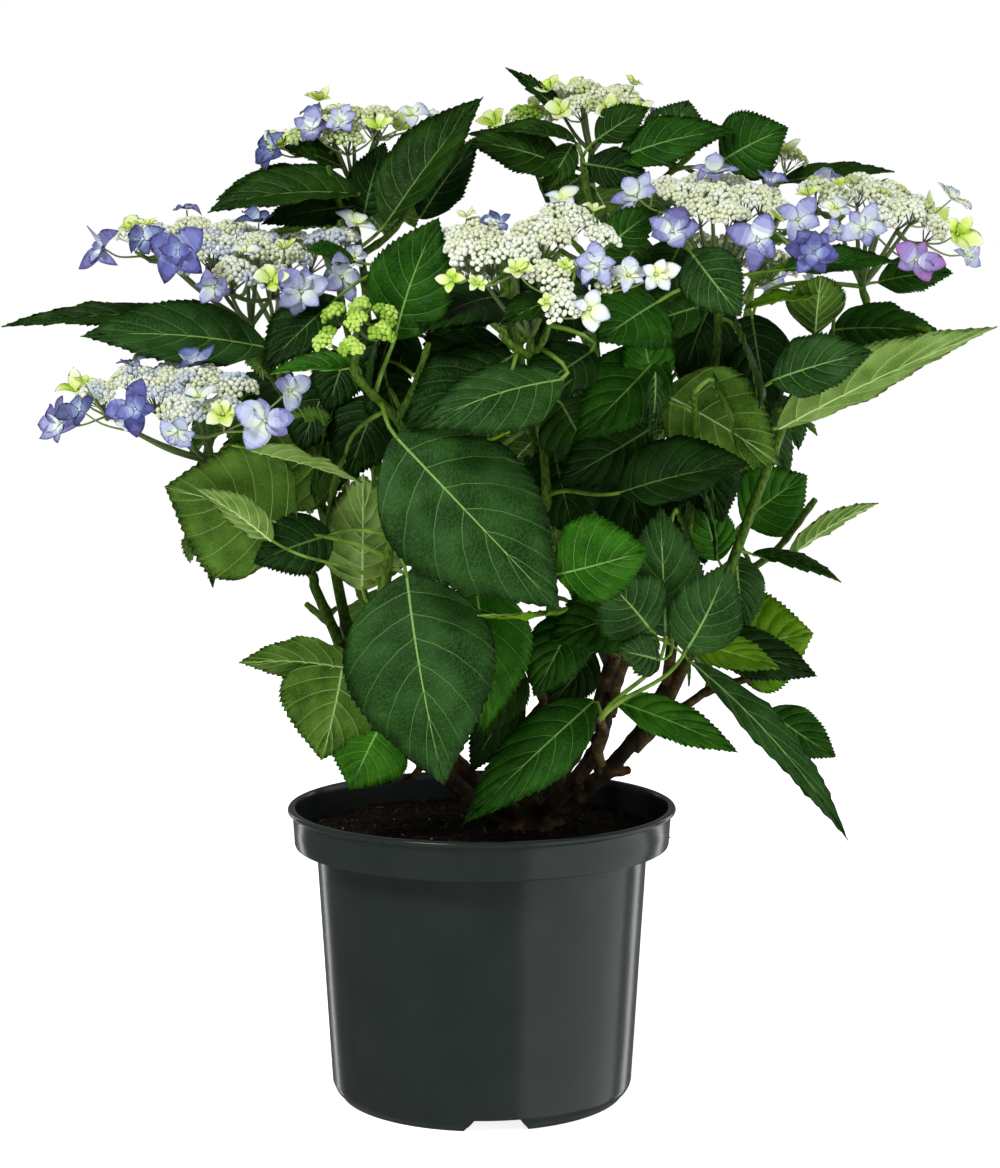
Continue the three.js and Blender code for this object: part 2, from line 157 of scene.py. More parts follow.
floor_mesh = bpy.data.meshes.new("floor")
half = FLOOR_SIZE / 2
floor_mesh.from_pydata([(-half, -half, 0), (half, -half, 0), (half, half, 0), (-half, half, 0)],
                       [], [(0, 1, 2, 3)])
floor_paper, floor_shader = principled("floor_paper", srgb(250, 250, 249), 0.9, Emission_Strength=0.86)
floor_shader.inputs["Emission Color"].default_value = (1, 1, 1, 1)
floor_mesh.materials.append(floor_paper)
floor = bpy.data.objects.new("floor", floor_mesh)
floor.visible_glossy = False  # as though flags beside the pot kept the white floor out of its sheen
scene.collection.objects.link(floor)
floor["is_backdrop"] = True


# Nodes of a material: colour that wanders between tones, and relief from a pattern, both on
# Object coordinates, so that they stay where they are on the piece.

def wire(material, kind, links=(), **values):
    """Adds a node. links are (input, output socket), and values set sockets and properties."""
    node = material.node_tree.nodes.new(kind)
    for key, value in values.items():
        if key in node.bl_rna.properties:
            setattr(node, key, value)
        else:
            node.inputs[key.replace("_", " ")].default_value = value
    for socket, output in links:
        material.node_tree.links.new(node.inputs[socket], output)
    return node


def object_coordinates(material):
    return wire(material, "ShaderNodeTexCoord").outputs["Object"]


def tone_ramp(material, factor, tones):
    """A colour ramp through (place, colour) tones, driven by factor."""
    ramp = wire(material, "ShaderNodeValToRGB", [("Fac", factor)])
    elements = ramp.color_ramp.elements
    while len(elements) < len(tones):
        elements.new(0.5)
    for element, (place, color) in zip(elements, tones):
        element.position = place
        element.color = (*color, 1.0)
    return ramp.outputs["Color"]


def mottled(material, shader, scale, tones, detail=3.0):
    """Lets the base colour wander between tones in patches of about 1 / scale metres."""
    links = [("Vector", object_coordinates(material))]
    patches = wire(material, "ShaderNodeTexNoise", links, Scale=scale, Detail=detail)
    color = tone_ramp(material, patches.outputs["Fac"], tones)
    material.node_tree.links.new(shader.inputs["Base Color"], color)


def relief(material, shader, height, distance, strength=1.0):
    """Adds a bump from a height output, on top of any bump that is already there."""
    links = [("Height", height)]
    below = shader.inputs["Normal"].links
    if below:
        links.append(("Normal", below[0].from_socket))
    bump = wire(material, "ShaderNodeBump", links, Distance=distance, Strength=strength)
    material.node_tree.links.new(shader.inputs["Normal"], bump.outputs["Normal"])


def grain(material, shader, scale, distance, detail=4.0):
    """Fine noise relief, distance metres high."""
    links = [("Vector", object_coordinates(material))]
    fine = wire(material, "ShaderNodeTexNoise", links, Scale=scale, Detail=detail)
    relief(material, shader, fine.outputs["Fac"], distance)


def new_piece(name, points, faces, materials, kinds=None, corner_uv=None):
    """A mesh object at the origin. kinds gives each face's material, and corner_uv its bake map."""
    mesh = bpy.data.meshes.new(name)
    mesh.from_pydata(np.asarray(points, float).tolist(), [], [list(face) for face in faces])
    for material in materials:
        mesh.materials.append(material)
    if kinds is not None:
        mesh.polygons.foreach_set("material_index", np.asarray(kinds, np.int32))
    mesh.shade_smooth()
    if corner_uv is not None:
        layer = mesh.uv_layers.new(name="OFBake")
        layer.uv.foreach_set("vector", np.asarray(corner_uv, np.float32).ravel())
    piece = bpy.data.objects.new(name, mesh)
    scene.collection.objects.link(piece)
    return piece


def hand_over(piece, slot, *nodes):
    """Says what a finished piece rides on, and the CAD nodes that it stands for. Its slot is not used."""
    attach(piece, "root")
    if nodes:
        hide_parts(*nodes)


# Pot: one injection moulding in dark grey recycled plastic, glossy, with a rolled lip, a collar
# that steps out over the tapering body, a raised floor with drain holes, and four notches
# through the foot ring so that water runs out.

_, POT_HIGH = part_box("pot")
POT_HEIGHT = POT_HIGH.z
POT_RIM = POT_HIGH.x
POT_SHELF = POT_HEIGHT - 0.028
POT_COLLAR_TOP = 0.1365
POT_COLLAR_FOOT = 0.135
POT_BODY_TOP = 0.1195
POT_BODY_FOOT = 0.109
POT_FOOT = 0.1026
POT_FLOOR = 0.010
POT_WALL = 0.002
POT_SEGMENTS = 144
NOTCH_FIRST = math.radians(6.0)
NOTCH_FOOT = 0.045
NOTCH_TOP = 0.032
NOTCH_HEIGHT = 0.0095
DRAIN_RING = 0.065
DRAIN_RADIUS = 0.007


def arc(centre, radius, first, last, steps):
    """Points of a round stretch of a profile, angles in degrees."""
    angles = np.radians(np.linspace(first, last, steps))
    return [(centre[0] + radius * math.cos(a), centre[1] + radius * math.sin(a)) for a in angles]


def turned(profile, segments):
    """Points and faces of a profile of (radius, height) turned about Z, from pole to pole."""
    ring = np.array(profile[1:-1])
    angles = np.arange(segments) * 2 * math.pi / segments
    around = np.stack([np.cos(angles), np.sin(angles)], 1)
    body = np.concatenate([
        np.column_stack([around * radius, np.full(segments, height)]) for radius, height in ring
    ])
    poles = [[0, 0, profile[0][1]], [0, 0, profile[-1][1]]]
    points = np.concatenate([body, poles])
    foot, top = len(body), len(body) + 1
    last = (len(ring) - 1) * segments
    faces = []
    for j in range(segments):
        k = (j + 1) % segments
        faces.append((foot, k, j))
        for row in range(0, last, segments):
            faces.append((row + j, row + k, row + segments + k, row + segments + j))
        faces.append((last + j, last + k, top))
    return points, faces


def pot_profile():
    inner_shelf = POT_SHELF + POT_WALL
    inner_floor = POT_FLOOR + POT_WALL
    lip = POT_RIM - 0.0021
    return [
        (0, 0), (0.0294, 0), (0.030, 0.0006), (0.0306, POT_FLOOR - 0.0008),
        (0.0314, POT_FLOOR), (0.0985, POT_FLOOR), (0.0992, POT_FLOOR - 0.0007),
        (0.0997, 0.0006), (0.1003, 0), (0.1019, 0), (POT_FOOT, 0.0003),
        *arc((POT_BODY_FOOT - 0.0105, 0.0115), 0.0104, -58, -4, 7),
        (POT_BODY_FOOT + 0.0022, 0.048), (POT_BODY_FOOT + 0.0063, 0.115),
        (POT_BODY_TOP - 0.0002, POT_SHELF - 0.004),
        *arc((POT_BODY_TOP + 0.0016, POT_SHELF - 0.0016), 0.0016, 170, 100, 4),
        (POT_COLLAR_FOOT - 0.0014, POT_SHELF), (POT_COLLAR_FOOT - 0.0003, POT_SHELF + 0.0004),
        (POT_COLLAR_FOOT + 0.0002, POT_SHELF + 0.0018),
        (POT_COLLAR_FOOT + 0.0008, POT_SHELF + 0.012),
        (POT_COLLAR_TOP, POT_HEIGHT - 0.0056), (POT_COLLAR_TOP + 0.0004, POT_HEIGHT - 0.0046),
        *arc((lip, POT_HEIGHT - 0.0021), 0.0021, -40, 90, 8),
        (POT_RIM - 0.0042, POT_HEIGHT), (POT_RIM - 0.0052, POT_HEIGHT - 0.0005),
        (POT_COLLAR_TOP - 0.0022, POT_HEIGHT - 0.0022),
        (POT_COLLAR_TOP - 0.0026, POT_HEIGHT - 0.0060),
        (POT_COLLAR_FOOT - POT_WALL, inner_shelf + 0.0015),
        (POT_COLLAR_FOOT - POT_WALL - 0.0014, inner_shelf),
        (POT_BODY_TOP - POT_WALL, inner_shelf),
        (POT_BODY_FOOT - POT_WALL, inner_floor + 0.002),
        (POT_BODY_FOOT - POT_WALL - 0.002, inner_floor), (0, inner_floor),
    ]


def prism(outline, depth):
    """A closed block: a convex outline of (x, z) points pushed along Y."""
    count = len(outline)
    points = [(x, y, z) for y in (0, depth) for x, z in outline]
    faces = [tuple(range(count)), tuple(range(2 * count - 1, count - 1, -1))]
    faces += [(i, i + count, (i + 1) % count + count, (i + 1) % count) for i in range(count)]
    return np.array(points), faces


def pot_cutters():
    """The notches and drain holes, as one mesh of separate closed blocks."""
    foot, top = NOTCH_FOOT / 2, NOTCH_TOP / 2
    notch = [(-foot - 0.001, -0.001), (foot + 0.001, -0.001), (top, NOTCH_HEIGHT), (-top, NOTCH_HEIGHT)]
    points, faces, first = [], [], 0
    for i in range(4):
        block, sides = prism(notch, 0.04)
        block[:, 1] += POT_FOOT - 0.02
        turn = NOTCH_FIRST - math.pi / 2 + i * math.pi / 2
        spin = np.array(Matrix.Rotation(turn, 3, "Z"))
        points.append(block @ spin.T)
        faces += [tuple(first + k for k in side) for side in sides]
        first += len(block)
    for i in range(6):
        block, sides = turned([(0, 0), (DRAIN_RADIUS, 0), (DRAIN_RADIUS, 0.02), (0, 0.02)], 24)
        angle = i * math.pi / 3
        block += (DRAIN_RING * math.cos(angle), DRAIN_RING * math.sin(angle), 0.002)
        points.append(block)
        faces += [tuple(first + k for k in side) for side in sides]
        first += len(block)
    return new_piece("pot_cutters", np.concatenate(points), faces, [])


def finished(piece):
    """The mesh of a piece with its modifiers applied and removed."""
    graph = bpy.context.evaluated_depsgraph_get()
    mesh = bpy.data.meshes.new_from_object(piece.evaluated_get(graph), depsgraph=graph)
    piece.modifiers.clear()
    piece.data = mesh
    return piece


pot_plastic, pot_shader = principled(
    "pot_plastic", srgb(31, 37, 35), 0.2, Specular_IOR_Level=0.14)
mottled(pot_plastic, pot_shader, 26.0, [(0.3, srgb(29, 35, 33)), (0.7, srgb(34, 40, 38))])
grain(pot_plastic, pot_shader, 380.0, 0.00005)
grain(pot_plastic, pot_shader, 22.0, 0.00035, 1.0)

pot = new_piece("pot_moulding", *turned(pot_profile(), POT_SEGMENTS), [pot_plastic])
cutters = pot_cutters()
notching = pot.modifiers.new("notches", "BOOLEAN")
notching.operation = "DIFFERENCE"
notching.solver = "EXACT"
notching.object = cutters
finished(pot)
bpy.data.objects.remove(cutters)
pot.data.shade_smooth()
pot.data.set_sharp_from_angle(angle=math.radians(40))
hand_over(pot, "pot", "pot")


# Soil: dark, moist peat that fills the pot to just under the lip, pressed a little lower at the
# wall, with crumbs, fibres and a few paler grains of grit lying on it.

SOIL_LOW, SOIL_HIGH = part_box("soil")
SOIL_TOP = SOIL_HIGH.z
SOIL_EDGE = SOIL_TOP - 0.0055
SOIL_RADIUS = POT_COLLAR_FOOT - POT_WALL - 0.0004


def soil_height(x, y):
    radius = math.hypot(x, y)
    fall = (max(0.0, radius - 0.06) / (SOIL_RADIUS - 0.06)) ** 1.4
    lumps = 0.0022 * noise.fractal(Vector((x, y, 0.3)) * 55, 1.0, 2.0, 3)
    grains = 0.0011 * noise.noise(Vector((x, y, 0.7)) * 260)
    return SOIL_TOP - 0.002 - fall * (SOIL_TOP - SOIL_EDGE) + lumps + grains


soil_rings = np.linspace(0.004, SOIL_RADIUS, 74)
soil_profile = [(0, SOIL_LOW.z), (POT_BODY_FOOT - 0.006, SOIL_LOW.z),
                (POT_BODY_TOP - POT_WALL - 0.0008, POT_SHELF + POT_WALL + 0.0006),
                (SOIL_RADIUS - 0.0006, POT_SHELF + POT_WALL + 0.0006)]
soil_profile += [(radius, SOIL_EDGE) for radius in soil_rings[::-1]] + [(0, SOIL_EDGE)]
soil_points, soil_faces = turned(soil_profile, 192)
on_top = soil_points[:, 2] > SOIL_EDGE - 0.0001
for i in np.flatnonzero(on_top):
    soil_points[i, 2] = soil_height(soil_points[i, 0], soil_points[i, 1])

peat, peat_shader = principled("moist_peat", srgb(18, 14, 10), 0.95, Specular_IOR_Level=0.06)
mottled(peat, peat_shader, 150.0, [(0.35, srgb(7, 5, 3)), (0.55, srgb(18, 14, 9)), (0.75, srgb(36, 27, 18))])
grain(peat, peat_shader, 900.0, 0.0006)
crumb, crumb_shader = principled("peat_crumb", srgb(26, 19, 13), 0.95, Specular_IOR_Level=0.06)
mottled(crumb, crumb_shader, 320.0,
        [(0.35, srgb(9, 6, 4)), (0.5, srgb(25, 18, 12)), (0.72, srgb(60, 44, 30))])

soil = new_piece("potting_soil", soil_points, soil_faces, [peat])
hand_over(soil, "soil", "soil")


def rough_stone(name, material, seed):
    """A lump of unit size with an uneven surface, to be scattered."""
    builder = bmesh.new()
    bmesh.ops.create_icosphere(builder, subdivisions=1, radius=1.0)
    for vertex in builder.verts:
        vertex.co *= 1.0 + 0.35 * noise.noise(vertex.co * 1.7 + Vector((seed, 0, 0)))
    mesh = bpy.data.meshes.new(name)
    builder.to_mesh(mesh)
    builder.free()
    mesh.materials.append(material)
    lump = bpy.data.objects.new(name, mesh)
    scene.collection.objects.link(lump)
    return lump


def node_group(name, sockets):
    """An empty geometry node group with named inputs, and its input and output nodes."""
    group = bpy.data.node_groups.new(name, "GeometryNodeTree")
    group.interface.new_socket("Geometry", in_out="OUTPUT", socket_type="NodeSocketGeometry")
    group.interface.new_socket("Geometry", in_out="INPUT", socket_type="NodeSocketGeometry")
    for title, kind in sockets:
        group.interface.new_socket(title, in_out="INPUT", socket_type=kind)
    return group, group.nodes.new("NodeGroupInput"), group.nodes.new("NodeGroupOutput")


def join(group, source, output, target, socket):
    group.links.new(source.outputs[output], target.inputs[socket])


def scatter_tree():
    """Scatters a lump over a surface, each turned and sized at random."""
    group, start, end = node_group("scatter_lumps", [
        ("Lump", "NodeSocketObject"), ("Density", "NodeSocketFloat"), ("Seed", "NodeSocketInt"),
        ("Smallest", "NodeSocketVector"), ("Largest", "NodeSocketVector"),
        ("Material", "NodeSocketMaterial")])
    place = group.nodes.new("GeometryNodeDistributePointsOnFaces")
    lump = group.nodes.new("GeometryNodeObjectInfo")
    turn = group.nodes.new("FunctionNodeRandomValue")
    turn.data_type = "FLOAT_VECTOR"
    turn.inputs[1].default_value = (math.tau, math.tau, math.tau)
    size = group.nodes.new("FunctionNodeRandomValue")
    size.data_type = "FLOAT_VECTOR"
    put = group.nodes.new("GeometryNodeInstanceOnPoints")
    real = group.nodes.new("GeometryNodeRealizeInstances")
    paint = group.nodes.new("GeometryNodeSetMaterial")
    join(group, start, "Geometry", place, "Mesh")
    join(group, start, "Density", place, "Density")
    join(group, start, "Seed", place, "Seed")
    join(group, start, "Seed", turn, "Seed")
    join(group, start, "Seed", size, "Seed")
    group.links.new(start.outputs["Smallest"], size.inputs[0])
    group.links.new(start.outputs["Largest"], size.inputs[1])
    join(group, start, "Lump", lump, "Object")
    join(group, place, "Points", put, "Points")
    join(group, lump, "Geometry", put, "Instance")
    group.links.new(turn.outputs[0], put.inputs["Rotation"])
    group.links.new(size.outputs[0], put.inputs["Scale"])
    join(group, put, "Instances", real, "Geometry")
    join(group, real, "Geometry", paint, "Geometry")
    join(group, start, "Material", paint, "Material")
    join(group, paint, "Geometry", end, "Geometry")
    return group


def grown(name, base, tree, **values):
    """A new piece: the result of a node tree on a base object, as a plain mesh."""
    piece = bpy.data.objects.new(name, base.data.copy())
    scene.collection.objects.link(piece)
    modifier = piece.modifiers.new(tree.name, "NODES")
    modifier.node_group = tree
    for item in tree.interface.items_tree:
        if item.in_out == "INPUT" and item.name in values:
            modifier[item.identifier] = values[item.name]
    return finished(piece)


scatter = scatter_tree()
soil_skin = new_piece("soil_skin", soil_points, [f for f in soil_faces if on_top[list(f)].all()], [])
lump = rough_stone("lump", crumb, 3.0)
crumbs = grown("soil_crumbs", soil_skin, scatter, Lump=lump, Density=26000.0, Seed=4,
               Smallest=(0.0006, 0.0006, 0.0004), Largest=(0.0023, 0.0019, 0.0014), Material=crumb)
fibre, _ = principled("bark_fibre", srgb(74, 52, 36), 0.9, Specular_IOR_Level=0.2)
fibres = grown("soil_fibres", soil_skin, scatter, Lump=lump, Density=1500.0, Seed=9,
               Smallest=(0.0005, 0.0005, 0.002), Largest=(0.0009, 0.0009, 0.0075), Material=fibre)
grit, _ = principled("grit", srgb(116, 100, 80), 0.9)
grains = grown("soil_grit", soil_skin, scatter, Lump=lump, Density=320.0, Seed=12,
               Smallest=(0.0005, 0.0005, 0.0005), Largest=(0.0013, 0.0013, 0.0011), Material=grit)
for scrap in (crumbs, fibres, grains):
    scrap.data.shade_smooth()
    hand_over(scrap, "soil")
bpy.data.objects.remove(soil_skin)
bpy.data.objects.remove(lump)


# Wood: a flared crown at soil level and six boughs, grey-brown with red-brown patches, ridged along
# their length, ringed by old leaf scars, with the stubs of shoots that were cut back.

def level_cuts(node, count):
    """Centres and radii of a CAD limb, foot to tip, where level planes cut its mesh."""
    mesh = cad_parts[node].data
    spots = np.empty(len(mesh.vertices) * 3)
    mesh.vertices.foreach_get("co", spots)
    spots = spots.reshape(-1, 3)
    ends = np.empty(len(mesh.edges) * 2, np.int32)
    mesh.edges.foreach_get("vertices", ends)
    first, second = spots[ends[0::2]], spots[ends[1::2]]
    foot, top = spots[:, 2].min() + LIMB_END, spots[:, 2].max() - LIMB_END
    rings = []
    for level in np.linspace(foot, top, count):
        crossing = (first[:, 2] - level) * (second[:, 2] - level) < 0
        a, b = first[crossing], second[crossing]
        rings.append(a + (b - a) * ((level - a[:, 2]) / (b[:, 2] - a[:, 2]))[:, None])
    centres = np.array([ring.mean(0) for ring in rings])
    along = np.gradient(centres, axis=0)
    along /= np.linalg.norm(along, axis=1)[:, None]
    radii = [
        np.linalg.norm(np.cross(ring - centre, way), axis=1).mean()
        for ring, centre, way in zip(rings, centres, along)
    ]
    return centres, np.array(radii)


def smooth_path(points, step):
    """A smooth curve through the points, as points a step apart, and where each lies from 0 to 1."""
    points = np.asarray(points, float)
    padded = np.concatenate([[2 * points[0] - points[1]], points, [2 * points[-1] - points[-2]]])
    pieces = []
    for a, b, c, d in zip(padded, padded[1:], padded[2:], padded[3:]):
        t = np.linspace(0, 1, 12, endpoint=False)[:, None]
        pieces.append(0.5 * (2 * b + (c - a) * t + (2 * a - 5 * b + 4 * c - d) * t ** 2
                             + (3 * b - a - 3 * c + d) * t ** 3))
    curve = np.concatenate(pieces + [points[-1:]])
    lengths = np.concatenate([[0], np.cumsum(np.linalg.norm(np.diff(curve, axis=0), axis=1))])
    count = max(3, int(round(lengths[-1] / step)) + 1)
    places = np.linspace(0, lengths[-1], count)
    return np.column_stack([np.interp(places, lengths, axis) for axis in curve.T]), places / lengths[-1]


def unit(vector):
    vector = np.asarray(vector, float)
    return vector / np.linalg.norm(vector)


def tube(path, radii, sides):
    """Points and faces of a closed tube along a path, with a point at each end."""
    along = np.gradient(path, axis=0)
    along /= np.linalg.norm(along, axis=1)[:, None]
    side = unit(np.cross(along[0], (0.31, 0.85, 0.42)))
    angles = np.arange(sides) * math.tau / sides
    points = []
    for place, way, radius in zip(path, along, radii):
        side = unit(side - way * side.dot(way))
        other = np.cross(way, side)
        points.append(place + radius * (np.outer(np.cos(angles), side) + np.outer(np.sin(angles), other)))
    count = len(path) * sides
    ends = [path[0] - along[0] * radii[0] * 0.4, path[-1] + along[-1] * radii[-1] * 0.4]
    points = np.concatenate([*points, ends])
    faces = []
    for j in range(sides):
        k = (j + 1) % sides
        faces.append((count, k, j))
        faces += [(i + j, i + k, i + sides + k, i + sides + j) for i in range(0, count - sides, sides)]
        faces.append((count - sides + j, count - sides + k, count + 1))
    return points, faces


class Heap:
    """Gathers many small shapes that are joined into one piece."""

    def __init__(self):
        self.points, self.faces, self.kinds, self.uvs, self.count = [], [], [], [], 0

    def add(self, points, faces, kinds=0, uvs=None):
        self.points.append(points)
        self.faces += [tuple(self.count + k for k in face) for face in faces]
        self.kinds += [kinds] * len(faces) if isinstance(kinds, int) else list(kinds)
        if uvs is not None:
            self.uvs.append(uvs)
        self.count += len(points)

    def piece(self, name, materials):
        used = sorted(set(self.kinds))
        kinds = np.searchsorted(used, self.kinds)
        uvs = np.concatenate(self.uvs) if self.uvs else None
        chosen = [materials[kind] for kind in used]
        return new_piece(name, np.concatenate(self.points), self.faces, chosen, kinds, uvs)


LIMB_END = 0.007
WOOD_STEP = 0.003
WOOD_VOXEL = 0.0013
BOUGHS = ["bough_left", "bough_front", "bough_front_right", "bough_right", "bough_back_left",
          "bough_back_right"]
CROWN_LOW, CROWN_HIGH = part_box("root_crown")
CROWN_CENTRE = np.array((CROWN_LOW + CROWN_HIGH) / 2)

limbs = {}
wood_heap = Heap()
wood_seed = np.random.default_rng(21)
crown_top = CROWN_HIGH.z
crown_shape = [(0, CROWN_LOW.z - 0.003), (0.026, CROWN_LOW.z - 0.003), (0.021, CROWN_LOW.z + 0.003),
               (0.015, CROWN_LOW.z + 0.009), (0.010, crown_top - 0.006), (0.007, crown_top - 0.003),
               (0, crown_top - 0.002)]
crown_points, crown_faces = turned(crown_shape, 30)
flutes = 1 + 0.16 * np.sin(5 * np.arctan2(crown_points[:, 1], crown_points[:, 0]) + 0.6)
crown_points[:, :2] *= flutes[:, None]
wood_heap.add(crown_points + (CROWN_CENTRE[0], CROWN_CENTRE[1], 0), crown_faces)
for name in BOUGHS:
    centres, radii = level_cuts(name, 7)
    start = CROWN_CENTRE + (centres[0] - CROWN_CENTRE) * 0.35
    start[2] = CROWN_LOW.z + 0.004
    stretch = centres[-1] + unit(centres[-1] - centres[-2]) * LIMB_END
    path, places = smooth_path([start, *centres, stretch], WOOD_STEP)
    girth = np.interp(places, np.linspace(0, 1, len(radii) + 2), [radii[0] * 1.2, *radii, radii[-1] * 0.95])
    for scar in np.arange(0.2, 1.0, 0.21) + wood_seed.uniform(-0.04, 0.04):
        girth *= 1 + 0.2 * np.exp(-((places - scar) / 0.022) ** 2)
    wood_heap.add(*tube(path, girth, 16))
    limbs[name] = (path, girth)
    for _ in range(2):
        at = wood_seed.integers(len(path) // 3, len(path) - 6)
        lean = unit(path[at + 1] - path[at])
        out = unit(np.cross(lean, wood_seed.normal(size=3)) + 0.5 * lean)
        reach = wood_seed.uniform(0.014, 0.026)
        tip = path[at] + out * reach + (0, 0, 0.003)
        stub, _ = smooth_path([path[at], path[at] + out * reach * 0.5, tip], WOOD_STEP)
        wood_heap.add(*tube(stub, np.full(len(stub), girth[at] * 0.5), 10))

bark, bark_shader = principled("bark", srgb(50, 36, 25), 0.88, Specular_IOR_Level=0.12)
mottled(bark, bark_shader, 95.0, [(0.3, srgb(12, 9, 5)), (0.48, srgb(30, 23, 13)), (0.62, srgb(54, 37, 20)),
                                  (0.78, srgb(96, 72, 44))], 5.0)
grain(bark, bark_shader, 520.0, 0.0008, 6.0)

wood = wood_heap.piece("wood", [bark])
fusing = wood.modifiers.new("fuse", "REMESH")
fusing.mode = "VOXEL"
fusing.voxel_size = WOOD_VOXEL
settling = wood.modifiers.new("settle", "SMOOTH")
settling.iterations = 3
finished(wood)
wood_points = np.empty(len(wood.data.vertices) * 3)
wood_normals = np.empty_like(wood_points)
wood.data.vertices.foreach_get("co", wood_points)
wood.data.vertex_normals.foreach_get("vector", wood_normals)
wood_points, wood_normals = wood_points.reshape(-1, 3), wood_normals.reshape(-1, 3)
for i, spot in enumerate(wood_points):
    ridges = noise.noise(Vector((spot[0] * 420, spot[1] * 420, spot[2] * 110)))
    lumps = noise.noise(Vector(spot * 90))
    wood_points[i] = spot + wood_normals[i] * (0.0005 * ridges + 0.0005 * lumps)
wood.data.vertices.foreach_set("co", wood_points.ravel())
wood.data.materials.clear()
wood.data.materials.append(bark)
wood.data.shade_smooth()
hand_over(wood, "bark", "root_crown", *BOUGHS)


# Shoots: this year's and last year's growth, pale green and a pencil thick, flecked with dark
# specks, red-brown where they leave the wood, and swollen at each pair of leaves or leaf scars.

SHOOTS = {
    "shoot_left_low": ("foliage_left_outer", "head_left_low"),
    "shoot_left_mid": ("foliage_left_upper", "head_left_mid"),
    "shoot_bud": ("foliage_centre", "head_bud"),
    "shoot_left_foot": ("foliage_left_low", None),
    "shoot_centre": ("foliage_centre", "head_centre"),
    "shoot_front": ("foliage_front_low", None),
    "shoot_foot": ("foliage_foot", None),
    "shoot_right_front": ("foliage_right_front", None),
    "shoot_right_inner": ("foliage_right_inner", "head_right_mid"),
    "shoot_right_outer": ("foliage_right_outer", "head_right_outer"),
    "shoot_right_low": ("foliage_right_low", None),
    "shoot_top_left": ("foliage_top_left", "head_top_left"),
    "shoot_back_left": ("foliage_back_left", "head_back_left"),
    "shoot_top_centre": ("foliage_top_centre", "head_top_centre"),
    "shoot_back_centre": ("foliage_back_centre", "head_back_centre"),
    "shoot_back_right": ("foliage_back_right", "head_back_right"),
}
# Side shoots: the limb they leave, the height where they leave it, their mass and their head.
SIDE_SHOOTS = {
    "side_left_small": ("shoot_top_left", 0.50, "foliage_top_left", "head_left_small"),
    "side_top_small": ("shoot_top_centre", 0.60, "foliage_top_centre", "head_top_small"),
    "side_right_back": ("shoot_back_right", 0.48, "foliage_top_right", "head_right_back"),
    "side_middle": ("shoot_centre", 0.44, "foliage_middle", None),
    "side_right": ("shoot_right_outer", 0.37, "foliage_right_side", None),
    "side_low_back_left": ("shoot_back_left", 0.31, "foliage_low_back_left", None),
    "side_low_back_right": ("shoot_back_right", 0.31, "foliage_low_back_right", None),
}
# Flower heads in millimetres: middle of the cushion, half-widths, dome, and the way it faces.
HEADS = {
    "head_left_low": ((-212, -92, 500), (86, 72), 14, (-0.06, -0.42, 0.90)),
    "head_left_mid": ((-184, 5, 597), (90, 74), 14, (0.14, -0.42, 0.90)),
    "head_left_small": ((-106, 60, 612), (26, 24), 8, (0.10, -0.35, 0.93)),
    "head_top_left": ((-99, 112, 695), (56, 52), 12, (-0.14, -0.28, 0.95)),
    "head_top_centre": ((84, 165, 720), (50, 46), 12, (0.04, -0.36, 0.93)),
    "head_top_small": ((34, 185, 708), (28, 24), 8, (-0.10, -0.30, 0.95)),
    "head_centre": ((34, -140, 598), (74, 70), 15, (0.02, -0.58, 0.81)),
    "head_right_mid": ((165, -45, 633), (76, 66), 14, (0.04, -0.36, 0.93)),
    "head_right_outer": ((278, 15, 633), (76, 66), 14, (0.22, -0.36, 0.90)),
    "head_right_back": ((218, 135, 676), (30, 28), 8, (0.10, -0.20, 0.97)),
    "head_bud": ((-82, -134, 556), (27, 25), 9, (0.00, -0.72, 0.69)),
    "head_back_left": ((-168, 192, 598), (70, 64), 14, (-0.26, 0.30, 0.92)),
    "head_back_centre": ((20, 246, 592), (74, 62), 14, (0.02, 0.36, 0.93)),
    "head_back_right": ((200, 206, 600), (60, 54), 13, (0.28, 0.29, 0.92)),
}
FORK_DEPTH = 0.72
FORK_SHIFT = {"head_left_low": (26, 12, 18), "head_left_mid": (22, 12, 16)}  # stalks that lean out
# How many more side shoots each wide mass has, sprouting from its first shoot by the seeded rule.
EXTRA_SHOOTS = {
    "left_upper": 3, "top_left": 3, "top_centre": 3, "middle": 4, "centre": 4, "right_inner": 4,
    "right_outer": 3, "back_left": 5, "back_centre": 5, "back_right": 5, "left_outer": 2,
    "low_back_left": 2, "low_back_right": 2, "right_front": 1, "top_right": 1,
}
# Places across and up, with a radius, where the crown stays open: no seeded twig or leaf grows there.
OPEN_GAPS = [(-0.144, 0.335, 0.030), (0.016, 0.655, 0.030), (-0.138, 0.355, 0.030), (-0.270, 0.540, 0.030),
             (-0.158, 0.285, 0.022)]
SHOOT_TIP = 0.0026
SHOOT_STEP = 0.0032
TWIG_GIRTHS = (0.0031, 0.0020)
BROWN_BELOW = 0.335  # a shoot that leaves the wood is red-brown up to this height
NODE_GAPS = (0.008, 0.021, 0.037, 0.057, 0.081, 0.110, 0.145, 0.187, 0.237, 0.300)


def in_gap(spot):
    return any(math.hypot(spot[0] - x, spot[2] - z) < reach for x, z, reach in OPEN_GAPS)


def head_seat(name):
    """Middle, facing, half-widths, dome and fork of a flower head, in metres."""
    middle, half, dome, axis = HEADS[name]
    middle, half, axis = np.array(middle) / 1000, np.array(half) / 1000, unit(np.array(axis))
    fork = middle - unit(axis + (0, 0, 1.2)) * FORK_DEPTH * half.mean()
    fork = fork + np.array(FORK_SHIFT.get(name, (0, 0, 0))) / 1000
    return middle, axis, half, dome / 1000, fork


